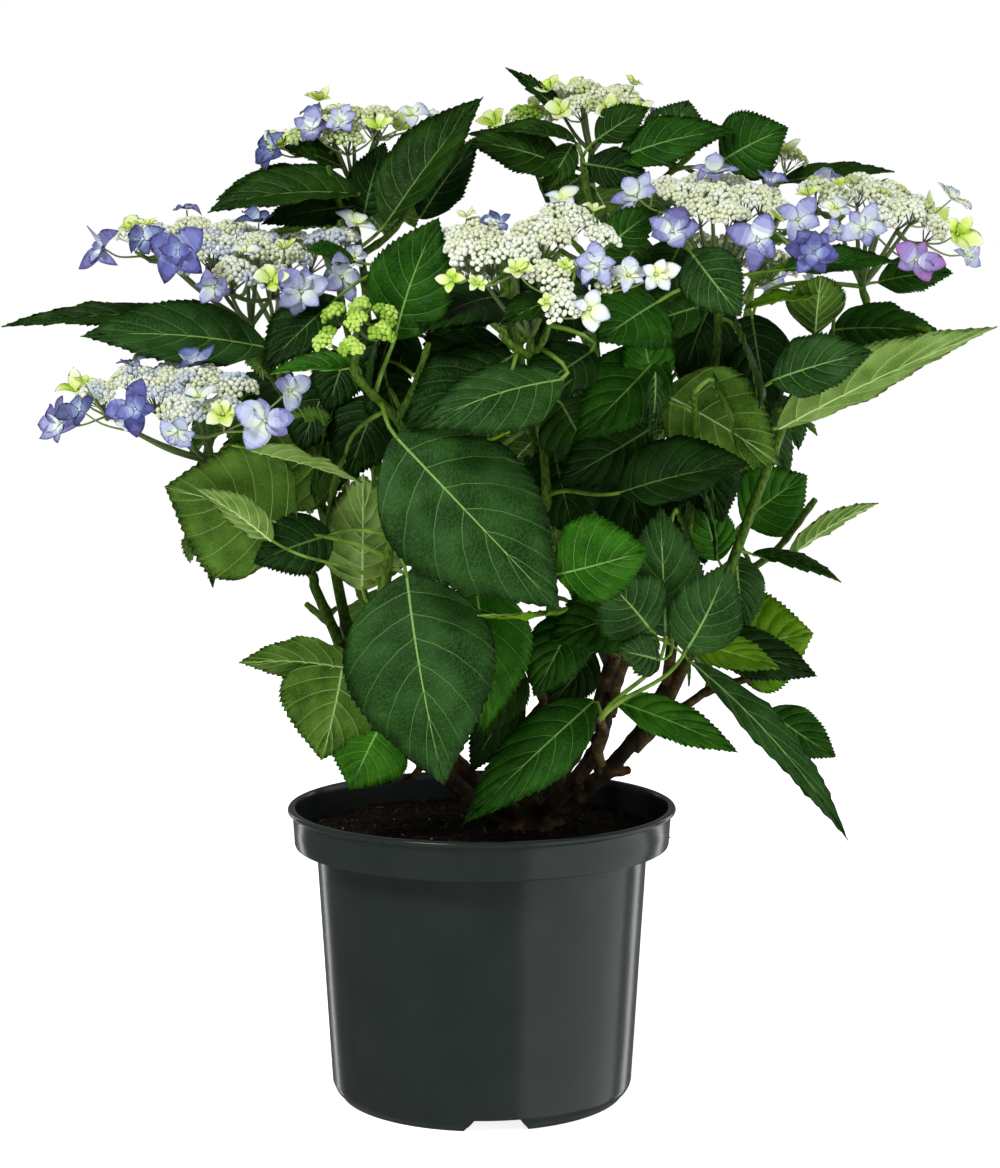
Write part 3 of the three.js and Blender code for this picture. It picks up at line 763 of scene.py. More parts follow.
def add_limb(name, points, foot_girth, tip_girth):
    """Lays out a shoot, with its nodes: their places, from the tip down."""
    path, places = smooth_path(points, SHOOT_STEP)
    girth = foot_girth + (tip_girth - foot_girth) * places ** 0.8
    below_tip = (1 - places) * SHOOT_STEP * (len(path) - 1)
    swelling = sum(np.exp(-((below_tip - gap) / 0.0028) ** 2) for gap in NODE_GAPS)
    limbs[name] = (path, girth * (1 + 0.22 * swelling))
    nodes[name] = [int(np.argmin(abs(below_tip - gap))) for gap in NODE_GAPS if gap < below_tip[0] - 0.01]


nodes = {}
shoots_of = {}
for name, (mass, head) in SHOOTS.items():
    centres, radii = level_cuts(name, 7)
    foot = centres[0] - unit(centres[1] - centres[0]) * (LIMB_END + 0.004)
    points = [foot, *centres]
    if head:
        *_, fork = head_seat(head)
        points += [fork - (0, 0, 0.3 * max(0.02, fork[2] - centres[-1][2])), fork]
    else:
        low, high = (np.array(corner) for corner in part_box(mass))
        points.append((low + high) / 2 + (0, 0, 0.15 * (high[2] - low[2])))
    add_limb(name, points, radii.max(), SHOOT_TIP)
    shoots_of.setdefault(mass, []).append(name)
for name, (parent, height, mass, head) in SIDE_SHOOTS.items():
    path, girth = limbs[parent]
    at = int(np.argmin(abs(path[:, 2] - height)))
    if head:
        *_, goal = head_seat(head)
    else:
        low, high = (np.array(corner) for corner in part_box(mass))
        goal = (low + high) / 2 + (0, 0, 0.1 * (high[2] - low[2]))
    bow = path[at] + (goal - path[at]) * (0.55, 0.55, 0.38)
    add_limb(name, [path[at], bow, goal], girth[at] * 0.72, SHOOT_TIP * 0.9)
    shoots_of.setdefault(mass, []).append(name)

shoot_seed = np.random.default_rng(77)
for mass, count in EXTRA_SHOOTS.items():
    low, high = (np.array(corner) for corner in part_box("foliage_" + mass))
    for k in range(count):
        around = math.tau * (k + shoot_seed.uniform(-0.2, 0.2)) / count
        goal = (low + high) / 2 + (high - low) / 2 * (
            0.5 * math.cos(around), 0.5 * math.sin(around), shoot_seed.uniform(-0.1, 0.35))
        if in_gap(goal):
            continue
        reaches = []
        for limb in shoots_of["foliage_" + mass]:
            source = limbs[limb][0][:-3]
            if limb.startswith("twig"):
                continue
            gaps = np.linalg.norm((goal - source) * (1, 1, 0.6), axis=1) + 0.5 * np.clip(
                source[:, 2] - goal[2] + 0.05, 0, None)
            reaches.append((gaps.min(), limb, int(np.argmin(gaps))))
        _, limb, at = min(reaches)
        source = limbs[limb][0]
        bow = source[at] + (goal - source[at]) * (0.5, 0.5, 0.35)
        add_limb(f"twig_{mass}_{k}", [source[at], bow, goal], *TWIG_GIRTHS)
        shoots_of["foliage_" + mass].append(f"twig_{mass}_{k}")

shoot_green, shoot_shader = principled("shoot_green", srgb(60, 90, 16), 0.5, Specular_IOR_Level=0.14)
speckles = wire(shoot_green, "ShaderNodeTexVoronoi", [("Vector", wire(
    shoot_green, "ShaderNodeMapping", [("Vector", object_coordinates(shoot_green))],
    Scale=(1.0, 1.0, 0.45)).outputs["Vector"])], Scale=520.0)
speck_color = tone_ramp(shoot_green, speckles.outputs["Distance"], [
    (0.10, srgb(26, 22, 8)), (0.2, srgb(42, 68, 8)), (0.55, srgb(58, 88, 14)), (0.9, srgb(80, 110, 30))])
shoot_green.node_tree.links.new(shoot_shader.inputs["Base Color"], speck_color)
grain(shoot_green, shoot_shader, 300.0, 0.0004)
shoot_brown, brown_shader = principled("shoot_brown", srgb(56, 38, 22), 0.65, Specular_IOR_Level=0.12)
mottled(shoot_brown, brown_shader, 150.0,
        [(0.3, srgb(28, 20, 9)), (0.55, srgb(58, 42, 20)), (0.75, srgb(72, 78, 26))])
grain(shoot_brown, brown_shader, 420.0, 0.0006)

shoot_heap = Heap()
for name in list(limbs)[len(BOUGHS):]:
    path, girth = limbs[name]
    points, faces = tube(path, girth, 12)
    brown_top = BROWN_BELOW if name in SHOOTS else 0.0
    shoot_heap.add(points, faces, [int(points[list(face), 2].mean() < brown_top) for face in faces])
shoots = shoot_heap.piece("green_shoots", [shoot_green, shoot_brown])
hand_over(shoots, "stem", *SHOOTS)


# Leaves: broad, toothed and pointed, in opposite pairs on thick stalks. The upper side is glossy
# and puckered between sunken pale veins, and the lower side is matt, with the veins standing out.
# The upper greens run from nearly black in the crown, a painted shade, to bright where the light comes
# through, a painted light over the lighter green of young leaves. A cool green is a painted sheen, and the
# darker of the two undersides is a painted shade.

VEIN_PAIRS = 7
LEAF_THICKNESS = 0.0004
OUTLINE_WIDEST = 0.42
MIDRIB_WIDTH = 0.0016
VEIN_WIDTH = 0.00062
ALONG_VEIN = np.array([0.0, 0.2, 0.46, 0.76, 1.0])
LINES_BETWEEN_VEINS = {"fine": (9, 7, 7, 5, 5, 3, 3, 1), "plain": (5, 3, 3, 3, 3, 1, 1, 1)}
NET_PALENESS = 0.2
UNDER_KINDS = 3  # kinds of face: upper blade, vein and midrib, then lower blade, vein and midrib


def outline(place):
    """The leaf's half-width at each place along its length, as a share of its greatest."""
    base = np.clip(place / OUTLINE_WIDEST, 0, None) ** 0.80
    return base * np.clip((1 - place) / (1 - OUTLINE_WIDEST), 0, None) ** 1.24


def leaf_lines(between):
    """The lines from midrib to edge: start, end, vein edge (-1, 0 or 1), pucker and tooth."""
    rows = []
    for gap, count in enumerate(between):
        for k in range(count + 1):
            reach = (gap + k / (count + 1)) / (VEIN_PAIRS + 1)
            if k:
                rows.append((reach, 0, math.sin(math.pi * k / (count + 1)), (k + 1) % 2))
            elif gap:
                rows += [(reach, -1, 0.0, 1), (reach, 1, 0.0, 1)]
            else:
                rows.append((0.0, 0, 0.0, 0))
    rows.append((1.0, 0, 0.0, 0))
    reach, edge, pucker, tooth = (np.array(column, float) for column in zip(*rows))
    start = 0.955 * reach ** 1.15
    end = 1 - (1 - reach) ** 1.85 * 0.975
    return start, end, edge, pucker, tooth


def leaf_faces(rows):
    """Faces and their kinds for both sides of both sheets. The sheets share their edges."""
    columns = len(ALONG_VEIN)
    half = rows * columns
    index = np.arange(4 * half).reshape(4, rows, columns)  # top left, top right, low left, low right
    index[2:, :, -1] = index[:2, :, -1]
    index[2:, 0, :] = index[:2, 0, :]
    faces, kinds = [], []
    for sheet, (left, right) in enumerate(((index[0], index[1]), (index[3], index[2]))):
        for grid, turn in ((left, 1), (right, -1)):
            for j in range(rows - 1):
                vein = edges_of_vein[rows][j] == -1 and edges_of_vein[rows][j + 1] == 1
                for i in range(columns - 1):
                    face = (grid[j, i], grid[j + 1, i], grid[j + 1, i + 1], grid[j, i + 1])
                    faces.append(face if turn > 0 else (face[0], *face[:0:-1]))
                    kinds.append(UNDER_KINDS * sheet + (1 if vein else 0))
        strip = [(left[j, 0], right[j, 0]) for j in range(rows)]
        strip += [(left[-1, i], right[-1, i]) for i in range(1, columns)]
        for (a, b), (c, d) in zip(strip, strip[1:]):
            faces.append((a, b, d, c))
            kinds.append(UNDER_KINDS * sheet + 2)
    return [tuple(int(k) for k in face) for face in faces], kinds


edges_of_vein = {}
leaf_plans = {}
for plan, between in LINES_BETWEEN_VEINS.items():
    lines = leaf_lines(between)
    edges_of_vein[len(lines[0])] = lines[2]
    leaf_plans[plan] = (lines, *leaf_faces(len(lines[0])))


def flat_leaf(lines, length, half_width, seed):
    """Both sheets' points as (place along, offset across, height), in metres except the first."""
    start, end, edge, pucker, tooth = lines
    u = ALONG_VEIN[None, :]
    sides = []
    for side in (-1, 1):
        wander = seed.normal(0, 0.003, len(end)) * (edge == 0)
        tip_s = np.clip(end + wander, 0, 1)
        tip_t = outline(tip_s) * half_width
        slim = (1 - start) * MIDRIB_WIDTH / 2 + 0.0001
        bite = tooth * (0.3 + 0.7 * outline(tip_s)) * (tip_s < 0.96) * (tip_s > 0.05)
        tip_s = tip_s + bite * 0.0021 / length
        tip_t = tip_t + bite * 0.0014
        bow_s = start + 0.30 * (tip_s - start)
        bow_t = slim + 0.66 * (tip_t - slim)
        s = start[:, None] * (1 - u) ** 2 + 2 * bow_s[:, None] * u * (1 - u) + tip_s[:, None] * u ** 2
        t = slim[:, None] * (1 - u) ** 2 + 2 * bow_t[:, None] * u * (1 - u) + tip_t[:, None] * u ** 2
        way_s, way_t = np.gradient(s, axis=1) * length, np.gradient(t, axis=1)
        norm = np.hypot(way_s, way_t) + 1e-9
        shift = edge[:, None] * (VEIN_WIDTH / 2 * (1 - 0.75 * u))
        s = s + shift * way_t / norm / length
        t = np.maximum(t - shift * way_s / norm, 0.00006)
        rise = np.minimum(1, u / 0.2) * (1 - 0.45 * u)
        height = 0.0017 * pucker[:, None] * rise - 0.0003 * abs(edge)[:, None] * (1 - u)
        sides.append((s, side * t, height))
    top = np.array(sides)
    low = top.copy()
    thickness = LEAF_THICKNESS + 0.0005 * abs(edge)[:, None] * (1 - 0.8 * u)
    thickness = thickness + 0.0012 * (1 - start)[:, None] * (u == 0)
    low[:, 2] -= thickness
    flat = np.concatenate([top.transpose(0, 2, 3, 1), low.transpose(0, 2, 3, 1)])
    return flat.reshape(-1, 3)


def bent_leaf(flat, half_width, base, tip, facing, bend, fold, arch, twist, sweep, wave, seed):
    """Lays a flat leaf along an arc from base to tip, folded, arched, twisted and waved."""
    chord = np.linalg.norm(tip - base)
    way = (tip - base) / chord
    face = unit(facing - way * facing.dot(way))
    across = np.cross(way, face)
    place = np.linspace(-0.02, 1.06, 55)
    angle = math.radians(bend) * (0.5 - np.clip(place, 0, 1) ** 1.3)
    steps = np.stack([np.cos(angle), np.sin(angle)], 1) * (place[1] - place[0])
    rib = np.cumsum(steps, 0)
    first = np.array([np.interp(0.0, place, rib[:, 0]), np.interp(0.0, place, rib[:, 1])])
    last = np.array([np.interp(1.0, place, rib[:, 0]), np.interp(1.0, place, rib[:, 1])])
    run = last - first
    size = math.hypot(*run)
    level = np.array([[run[0], run[1]], [-run[1], run[0]]]) / size
    rib = (rib - first) @ level.T * (chord / size)
    slope = np.gradient(rib, axis=0)
    slope /= np.linalg.norm(slope, axis=1)[:, None]
    s, t, h = flat.T
    at = [np.interp(s, place, column) for column in (*rib.T, *slope.T)]
    forward = at[2][:, None] * way + at[3][:, None] * face
    upward = -at[3][:, None] * way + at[2][:, None] * face
    spine = base + at[0][:, None] * way + at[1][:, None] * face
    spine = spine + across * (sweep * chord * 4 * s * (1 - s))[:, None]
    roll = math.radians(twist) * (s - 0.35)
    side = np.cos(roll)[:, None] * across + np.sin(roll)[:, None] * upward
    upward = np.cross(side, forward)
    width = np.abs(t)
    rise = math.radians(fold) * (1 - 0.3 * s)
    share = width / half_width
    ruffle = wave * share ** 2 * np.sin(s * 17 + np.sign(t) * 1.3 + seed.uniform(0, 6))
    ruffle = ruffle + 0.4 * wave * share * np.sin(s * 31 + np.sign(t) * 2.1 + seed.uniform(0, 6))
    lift = width * np.sin(rise) - arch * width ** 2 / half_width + ruffle + h
    reach = np.sign(t) * width * np.cos(rise) * (1 - 0.5 * (arch * share) ** 2)
    return spine + side * reach[:, None] + upward * lift[:, None]


def leaf_charts(flat, half_width, faces, kinds, cell, cells):
    """Where each face corner lies on the bake map: one cell a leaf, upper side left, lower right."""
    corners = np.array(faces)
    s, t = flat[corners, 0], flat[corners, 1]
    low = (np.array(kinds) >= UNDER_KINDS)[:, None]
    across = 0.25 + 0.22 * t / half_width + 0.5 * low
    chart = np.stack([across, 0.03 + 0.92 * s], -1)
    return ((chart + (cell % cells, cell // cells)) / cells).reshape(-1, 2)


def leaf_green(name, tones, net_color, roughness, pucker):
    """A leaf colour that clouds between tones, over a net of fine veins in relief."""
    material, shader = principled(name, tones[1], roughness, Specular_IOR_Level=0.055)
    mottled(material, shader, 45.0, [(0.3, tones[0]), (0.5, tones[1]), (0.72, tones[2])], 2.0)
    where = object_coordinates(material)
    net = wire(material, "ShaderNodeTexVoronoi", [("Vector", where)], feature="DISTANCE_TO_EDGE", Scale=330.0)
    line = wire(material, "ShaderNodeMapRange", [("Value", net.outputs["Distance"])])
    line.inputs["From Max"].default_value = 0.10
    line.inputs["To Min"].default_value = NET_PALENESS
    line.inputs["To Max"].default_value = 0.0
    color = shader.inputs["Base Color"].links[0].from_socket
    netted = wire(material, "ShaderNodeMix", data_type="RGBA")
    netted.inputs["B"].default_value = (*net_color, 1.0)
    material.node_tree.links.new(netted.inputs["Factor"], line.outputs["Result"])
    material.node_tree.links.new(netted.inputs["A"], color)
    material.node_tree.links.new(shader.inputs["Base Color"], netted.outputs["Result"])
    flat_top = wire(material, "ShaderNodeMath", [(0, net.outputs["Distance"])], operation="MINIMUM")
    flat_top.inputs[1].default_value = 0.16
    relief(material, shader, flat_top.outputs["Value"], pucker)
    return material


GREENS = {  # three tones of the blade, and how pale the veins are
    # Painted shade: a near-black green for leaves that hang in the shade inside the crown.
    "deep": ((6, 26, 2), (10, 36, 4), (18, 48, 8), 0.22),
    "dark": ((12, 36, 2), (20, 48, 4), (30, 62, 10), 0.3),
    "mid": ((12, 46, 2), (20, 60, 4), (32, 76, 10), 0.36),
    # Painted light: a lighter green, partly that of young leaves, partly light coming through the leaf.
    "bright": ((20, 64, 3), (32, 80, 6), (48, 100, 14), 0.4),
    # Painted light: yellow-green, as light coming through the leaf from behind, over a young leaf's paler
    # green.
    "fresh": ((52, 92, 3), (72, 112, 6), (96, 134, 18), 0.45),
    # Painted sheen: a grey-blue green that stands in for the gloss catching the room.
    "cool": ((18, 46, 12), (27, 58, 18), (40, 74, 30), 0.45),
}
UNDERSIDES = {
    "pale": ((76, 104, 38), (98, 126, 56), (120, 146, 80), 0.5),
    # Painted shade: the same underside made darker, as it looks where it hangs in shade.
    "olive": ((44, 72, 12), (60, 92, 22), (80, 114, 38), 0.5),
}


def blended(a, b, share):
    return tuple((1 - share) * one + share * other for one, other in zip(a, b))


leaf_materials = []
leaf_kinds = {}
for colors, part, roughness, net_relief, vein_color in (
    (GREENS, "leaf", 0.38, 0.0011, srgb(146, 186, 100)),
    (UNDERSIDES, "under", 0.6, -0.0014, srgb(176, 202, 132)),
):
    for name, (*tones, paleness) in colors.items():
        tones = [srgb(*tone) for tone in tones]
        leaf_kinds[name] = len(leaf_materials)
        vein, rib = (blended(tones[2], vein_color, share * paleness) for share in (0.5, 1.2))
        leaf_materials.append(leaf_green(f"{part}_{name}", tones, vein, roughness, net_relief))
        leaf_materials.append(principled(f"{part}_{name}_vein", vein, 0.5, Specular_IOR_Level=0.1)[0])
        leaf_materials.append(principled(f"{part}_{name}_rib", rib, 0.5, Specular_IOR_Level=0.1)[0])

# Leaves with a place of their own, in millimetres: mass, base of the blade, tip, the way the upper
# side faces, half-width, bend along it, fold along the midrib, green and underside. The last rows
# hang behind the others, face sideways or back, and fill the flanks.
# Their darkest green and darker underside are painted shade, the two brightest greens painted light coming
# through, and the cool green a painted sheen.
LEADING_LEAVES = [
    ("left_upper", (-218, 0, 563), (-341, 0, 554), (-0.1, -0.5, 1), 17, 8, 20, "dark", "olive"),
    ("left_upper", (-150, -20, 540), (-277, -50, 548), (-0.2, -0.7, 0.7), 33, 18, 12, "cool", "olive"),
    ("left_upper", (-100, -30, 575), (-150, -60, 525), (-0.3, -0.8, 0.5), 26, 25, 15, "deep", "olive"),
    ("left_upper", (-90, 0, 600), (-122, -20, 608), (0, -0.6, 0.8), 14, 15, 20, "mid", "olive"),
    ("centre", (-80, -122, 528), (-140, -127, 524), (0, -0.5, 0.85), 13, 30, 30, "bright", "pale"),
    ("centre", (-57, -110, 548), (-27, -125, 628), (-0.15, -1, 0.2), 30, 12, 8, "mid", "olive"),
    ("top_left", (-90, 70, 650), (-200, 60, 636), (0, -0.55, 0.83), 29, 35, 25, "dark", "olive"),
    ("top_left", (-70, 60, 628), (1, 82, 721), (-0.6, -0.75, 0.3), 34, 18, 30, "dark", "olive"),
    ("top_left", (-94, 90, 642), (-162, 70, 628), (0, -0.6, 0.7), 19, 25, 12, "deep", "olive"),
    ("top_left", (-88, 96, 634), (-72, 100, 690), (0, -0.95, 0.2), 18, 20, 10, "deep", "olive"),
    ("top_left", (-47, 122, 634), (-2, 120, 693), (-0.3, -0.9, 0.3), 20, 15, 10, "deep", "olive"),
    ("top_left", (-115, 120, 659), (-199, 110, 647), (0, -0.5, 0.85), 29, 30, 15, "mid", "olive"),
    ("top_left", (-105, 110, 672), (-150, 92, 684), (0, -0.6, 0.8), 18, 25, 15, "dark", "olive"),
    ("top_centre", (62, 150, 712), (17, 150, 748), (-0.4, -0.4, 0.7), 8, 15, 20, "deep", "olive"),
    ("top_centre", (70, 130, 692), (5, 120, 698), (0, -0.5, 1), 16, 30, 20, "dark", "olive"),
    ("top_centre", (62, 130, 673), (-13, 112, 690), (0, -0.8, 0.5), 22, 22, 15, "dark", "olive"),
    ("top_centre", (38, 150, 686), (-12, 145, 698), (0, -0.6, 0.8), 13, 20, 20, "deep", "olive"),
    ("top_centre", (85, 120, 692), (125, 118, 716), (-0.3, -0.8, 0.4), 17, 20, 18, "dark", "olive"),
    ("top_centre", (78, 112, 674), (124, 100, 664), (0, -0.85, 0.4), 17, 20, 10, "deep", "olive"),
    ("top_centre", (101, 110, 678), (188, 100, 697), (0, -0.8, 0.6), 23, 25, 12, "mid", "olive"),
    ("top_centre", (142, 165, 684), (158, 175, 726), (0, -0.9, 0.3), 25, 15, 8, "cool", "olive"),
    ("top_centre", (68, 130, 690), (46, 120, 652), (0, -0.9, 0.3), 12, 20, 10, "dark", "olive"),
    ("top_right", (178, 110, 676), (227, 98, 700), (-0.1, -1, 0.15), 27, 20, 8, "mid", "olive"),
    ("top_right", (225, 120, 661), (308, 112, 668), (0, -0.45, 0.9), 21, 16, 15, "dark", "olive"),
    ("right_inner", (85, -60, 608), (122, -60, 636), (0.3, -0.8, 0.4), 15, 15, 18, "mid", "olive"),
    ("right_inner", (142, -80, 606), (176, -92, 562), (-0.3, -0.9, 0.2), 22, 22, 10, "cool", "olive"),
    ("right_outer", (243, -30, 574), (180, -60, 566), (0, -0.2, 1), 15, 25, 20, "fresh", "pale"),
    ("right_outer", (210, -40, 594), (290, -30, 599), (0, -0.5, 0.9), 20, 25, 15, "mid", "olive"),
    ("right_outer", (233, -30, 549), (233, -60, 590), (0, 0.85, 0.5), 24, 20, 35, "mid", "olive"),
    ("right_outer", (285, 30, 586), (337, 18, 592), (0, -0.7, 0.7), 20, 25, 15, "mid", "olive"),
    ("right_outer", (206, -42, 484), (356, -57, 555), (-0.3, 0.75, 0.6), 27, 10, 26, "mid", "pale"),
    ("right_outer", (200, -60, 518), (268, -76, 538), (0, -0.8, 0.6), 25, 30, 10, "cool", "olive"),
    ("right_outer", (250, 10, 552), (330, 0, 546), (0, -0.7, 0.7), 25, 30, 12, "mid", "olive"),
    ("right_inner", (125, -60, 510), (203, -88, 462), (0.2, 0.95, 0.2), 38, 20, 8, "bright", "olive"),
    ("right_inner", (154, -60, 570), (79, -90, 545), (0, -0.8, 0.6), 20, 25, 12, "dark", "olive"),
    ("right_inner", (124, -70, 538), (64, -95, 478), (-0.1, -0.9, 0.4), 29, 22, 8, "mid", "olive"),
    ("right_inner", (119, -75, 512), (109, -72, 564), (0.1, -0.95, 0.2), 18, 15, 10, "bright", "olive"),
    ("right_inner", (118, -90, 525), (114, -100, 481), (0.5, -0.8, 0), 8, 15, 20, "cool", "olive"),
    ("right_inner", (117, -60, 485), (52, -80, 448), (0, -0.9, 0.3), 25, 20, 8, "deep", "olive"),
    ("right_inner", (154, -20, 478), (170, -30, 417), (0, -0.9, 0.3), 24, 20, 8, "deep", "olive"),
    ("right_inner", (191, -5, 563), (203, -22, 490), (0.1, -0.9, 0.3), 25, 20, 8, "deep", "olive"),
    ("right_inner", (112, -30, 618), (82, -52, 563), (0, -0.9, 0.3), 26, 22, 8, "dark", "olive"),
    ("right_inner", (94, -105, 444), (182, -112, 463), (0, -0.6, 0.8), 36, 28, 24, "deep", "pale"),
    ("centre", (55, -150, 522), (-38, -166, 490), (0, -0.65, 0.75), 32, 35, -6, "cool", "pale"),
    ("centre", (75, -120, 540), (25, -150, 508), (0, -0.8, 0.6), 22, 25, 12, "deep", "olive"),
    ("centre", (60, -120, 576), (12, -160, 556), (0, -0.6, 0.8), 16, 25, 15, "dark", "pale"),
    ("centre", (23, -105, 537), (-50, -133, 488), (-0.2, -0.9, 0.4), 32, 25, 8, "deep", "olive"),
    ("centre", (13, -80, 560), (-54, -100, 550), (0, -0.6, 0.8), 12, 20, 14, "deep", "olive"),
    ("centre", (21, -140, 507), (74, -120, 536), (0.2, -0.7, 0.7), 13, 15, 16, "dark", "pale"),
    ("centre", (5, -160, 483), (60, -145, 522), (0, -0.3, -1), 7, 15, 24, "fresh", "pale"),
    ("centre", (-1, -50, 546), (-28, -70, 478), (0, -0.9, 0.3), 27, 22, 8, "deep", "olive"),
    ("centre", (54, -60, 505), (82, -72, 455), (0, -0.9, 0.3), 27, 22, 8, "dark", "olive"),
    ("centre", (-70, -60, 508), (-92, -78, 450), (-0.1, -0.9, 0.3), 26, 22, 8, "deep", "olive"),
    ("centre", (-105, -42, 520), (-126, -60, 468), (-0.1, -0.9, 0.3), 26, 22, 8, "deep", "olive"),
    ("centre", (15, -70, 576), (-40, -130, 550), (-0.2, -0.7, 0.7), 34, 30, 10, "deep", "olive"),
    ("centre", (120, -80, 572), (78, -110, 545), (0, -0.9, 0.4), 32, 22, 10, "mid", "olive"),
    ("centre", (15, -80, 545), (-40, -115, 512), (0, -0.9, 0.4), 36, 20, 8, "deep", "olive"),
    ("centre", (64, -58, 588), (46, -82, 538), (0, -0.9, 0.3), 21, 20, 8, "deep", "olive"),
    ("centre", (-92, -50, 540), (-106, -66, 496), (0, -0.9, 0.3), 19, 20, 8, "deep", "olive"),
    ("centre", (-66, -66, 524), (-52, -84, 476), (0, -0.9, 0.3), 19, 20, 8, "deep", "olive"),
    ("right_inner", (140, -28, 614), (118, -52, 570), (0, -0.9, 0.3), 19, 20, 8, "deep", "olive"),
    ("centre", (-58, -40, 562), (-76, -60, 500), (0, -0.9, 0.3), 26, 20, 8, "deep", "olive"),
    ("centre", (50, -40, 474), (66, -56, 408), (0, -0.95, 0.2), 30, 20, 8, "deep", "olive"),
    ("right_inner", (100, -30, 474), (110, -50, 402), (0, -0.95, 0.2), 32, 20, 8, "deep", "olive"),
    ("right_inner", (166, -8, 578), (140, -28, 514), (0, -0.95, 0.2), 26, 18, 8, "deep", "olive"),
    ("front_low", (-57, -130, 484), (53, -168, 371), (0.15, -0.95, 0.3), 53, 14, 4, "cool", "pale"),
    ("front_low", (-50, -112, 390), (-24, -148, 251), (-0.1, -1, 0.15), 52, 20, 3, "cool", "olive"),
    ("front_low", (50, -150, 393), (112, -150, 410), (0.15, -0.85, 0.55), 34, 18, 26, "bright", "pale"),
    ("front_low", (58, -152, 371), (-2, -164, 368), (0, -0.3, -1), 8, 12, 20, "fresh", "pale"),
    ("front_low", (-4, -92, 384), (2, -100, 280), (0, -1, 0), 34, 20, 8, "bright", "olive"),
    ("right_front", (138, -120, 338), (165, -134, 401), (0, -1, 0.1), 25, 15, 8, "cool", "olive"),
    ("right_front", (115, -120, 352), (80, -140, 392), (-0.2, -1, 0.3), 27, 15, 8, "cool", "olive"),
    ("right_front", (125, -112, 347), (120, -118, 437), (0, -1, 0.05), 28, 15, 8, "cool", "olive"),
    ("foot", (78, -82, 299), (-12, -116, 219), (-0.25, -0.8, 0.6), 27, 25, 12, "mid", "pale"),
    ("foot", (92, -76, 298), (178, -80, 262), (0, -0.7, 0.7), 17, 25, 14, "bright", "pale"),
    ("right_front", (120, -132, 334), (90, -152, 343), (0, -0.9, 0.4), 15, 15, 12, "cool", "olive"),
    ("right_low", (146, -62, 323), (252, -100, 204), (0.4, -0.75, 0.5), 15, 16, 22, "cool", "olive"),
    ("right_low", (207, 8, 278), (256, 0, 245), (0, -0.9, 0.4), 18, 20, 8, "mid", "olive"),
    ("right_low", (146, -45, 334), (210, -50, 316), (0, -0.8, 0.5), 14, 20, 12, "fresh", "olive"),
    ("right_low", (155, -25, 334), (238, -30, 308), (0, -0.7, 0.7), 22, 24, 12, "deep", "olive"),
    ("right_low", (178, 30, 320), (241, 20, 333), (0, -1, 0.1), 38, 15, 8, "fresh", "olive"),
    ("right_side", (220, 0, 391), (284, 0, 429), (0, 0.6, 0.8), 12, 20, 24, "mid", "pale"),
    ("right_side", (168, -12, 389), (153, -22, 437), (-0.1, -0.95, 0.2), 17, 18, 10, "bright", "olive"),
    ("right_side", (150, 12, 452), (160, 2, 384), (0, -1, 0.1), 25, 18, 8, "deep", "olive"),
    ("right_side", (182, -5, 392), (188, -14, 338), (0.1, -1, 0.1), 19, 15, 8, "cool", "olive"),
    ("right_side", (193, -5, 393), (256, -12, 373), (0, -0.35, 1), 13, 35, 15, "dark", "pale"),
    ("right_side", (190, 38, 412), (238, 48, 446), (0, -1, 0.05), 28, 15, 8, "bright", "olive"),
    ("left_outer", (-126, -92, 418), (-214, -102, 448), (0.15, 0.95, 0.2), 53, 16, 6, "mid", "olive"),
    ("left_outer", (-119, -35, 448), (-185, -50, 466), (0.1, 0.95, 0.3), 20, 20, 10, "mid", "olive"),
    ("left_outer", (-140, -112, 412), (-191, -116, 448), (0.2, 0.8, 0.5), 15, 20, 26, "mid", "pale"),
    ("left_outer", (-154, -115, 474), (-79, -116, 451), (0, 0.45, 0.9), 12, 18, 24, "mid", "pale"),
    ("left_outer", (-92, -60, 452), (-166, -50, 478), (0, 1, 0.2), 38, 15, 8, "mid", "olive"),
    ("left_outer", (-102, -85, 414), (-154, -104, 396), (0, -0.9, 0.2), 22, 45, 10, "deep", "olive"),
    ("left_outer", (-82, -72, 374), (-80, -90, 456), (0.1, 1, 0.1), 35, 30, 15, "mid", "pale"),
    ("left_low", (-86, -80, 321), (-166, -90, 326), (0, 0.75, 0.7), 24, 24, 8, "mid", "olive"),
    ("left_low", (-95, -76, 329), (-110, -88, 258), (-0.3, 0.95, 0.1), 40, 15, 8, "mid", "olive"),
    ("left_low", (-70, -62, 279), (-91, -80, 236), (0, -0.9, -0.2), 30, 20, 8, "bright", "olive"),
    ("foot", (26, -30, 303), (-8, -34, 240), (0, -0.95, 0.2), 17, 20, 8, "deep", "olive"),
    ("foot", (78, -50, 330), (46, -62, 290), (0, -0.95, 0.2), 17, 20, 8, "deep", "olive"),
    ("foot", (20, -50, 326), (-2, -66, 268), (0, -0.95, 0.2), 21, 20, 8, "dark", "olive"),
    ("foot", (105, -62, 358), (46, -82, 340), (0, -0.8, 0.5), 26, 22, 12, "mid", "olive"),
    ("foot", (66, -52, 356), (36, -74, 300), (0, -0.95, 0.2), 22, 20, 8, "mid", "olive"),
    ("middle", (130, 50, 610), (118, 40, 540), (0, -0.95, 0.3), 30, 20, 8, "deep", "olive"),
    ("middle", (52, 50, 604), (38, 40, 534), (0, -0.95, 0.3), 29, 20, 8, "deep", "olive"),
    ("middle", (74, 36, 540), (58, 26, 470), (0, -0.95, 0.3), 30, 20, 8, "deep", "olive"),
    ("right_outer", (196, 40, 562), (190, 30, 500), (0, -0.95, 0.3), 27, 20, 8, "deep", "olive"),
    ("right_inner", (176, -36, 556), (188, -92, 500), (1, -0.2, 0.3), 28, 24, 10, "dark", "olive"),
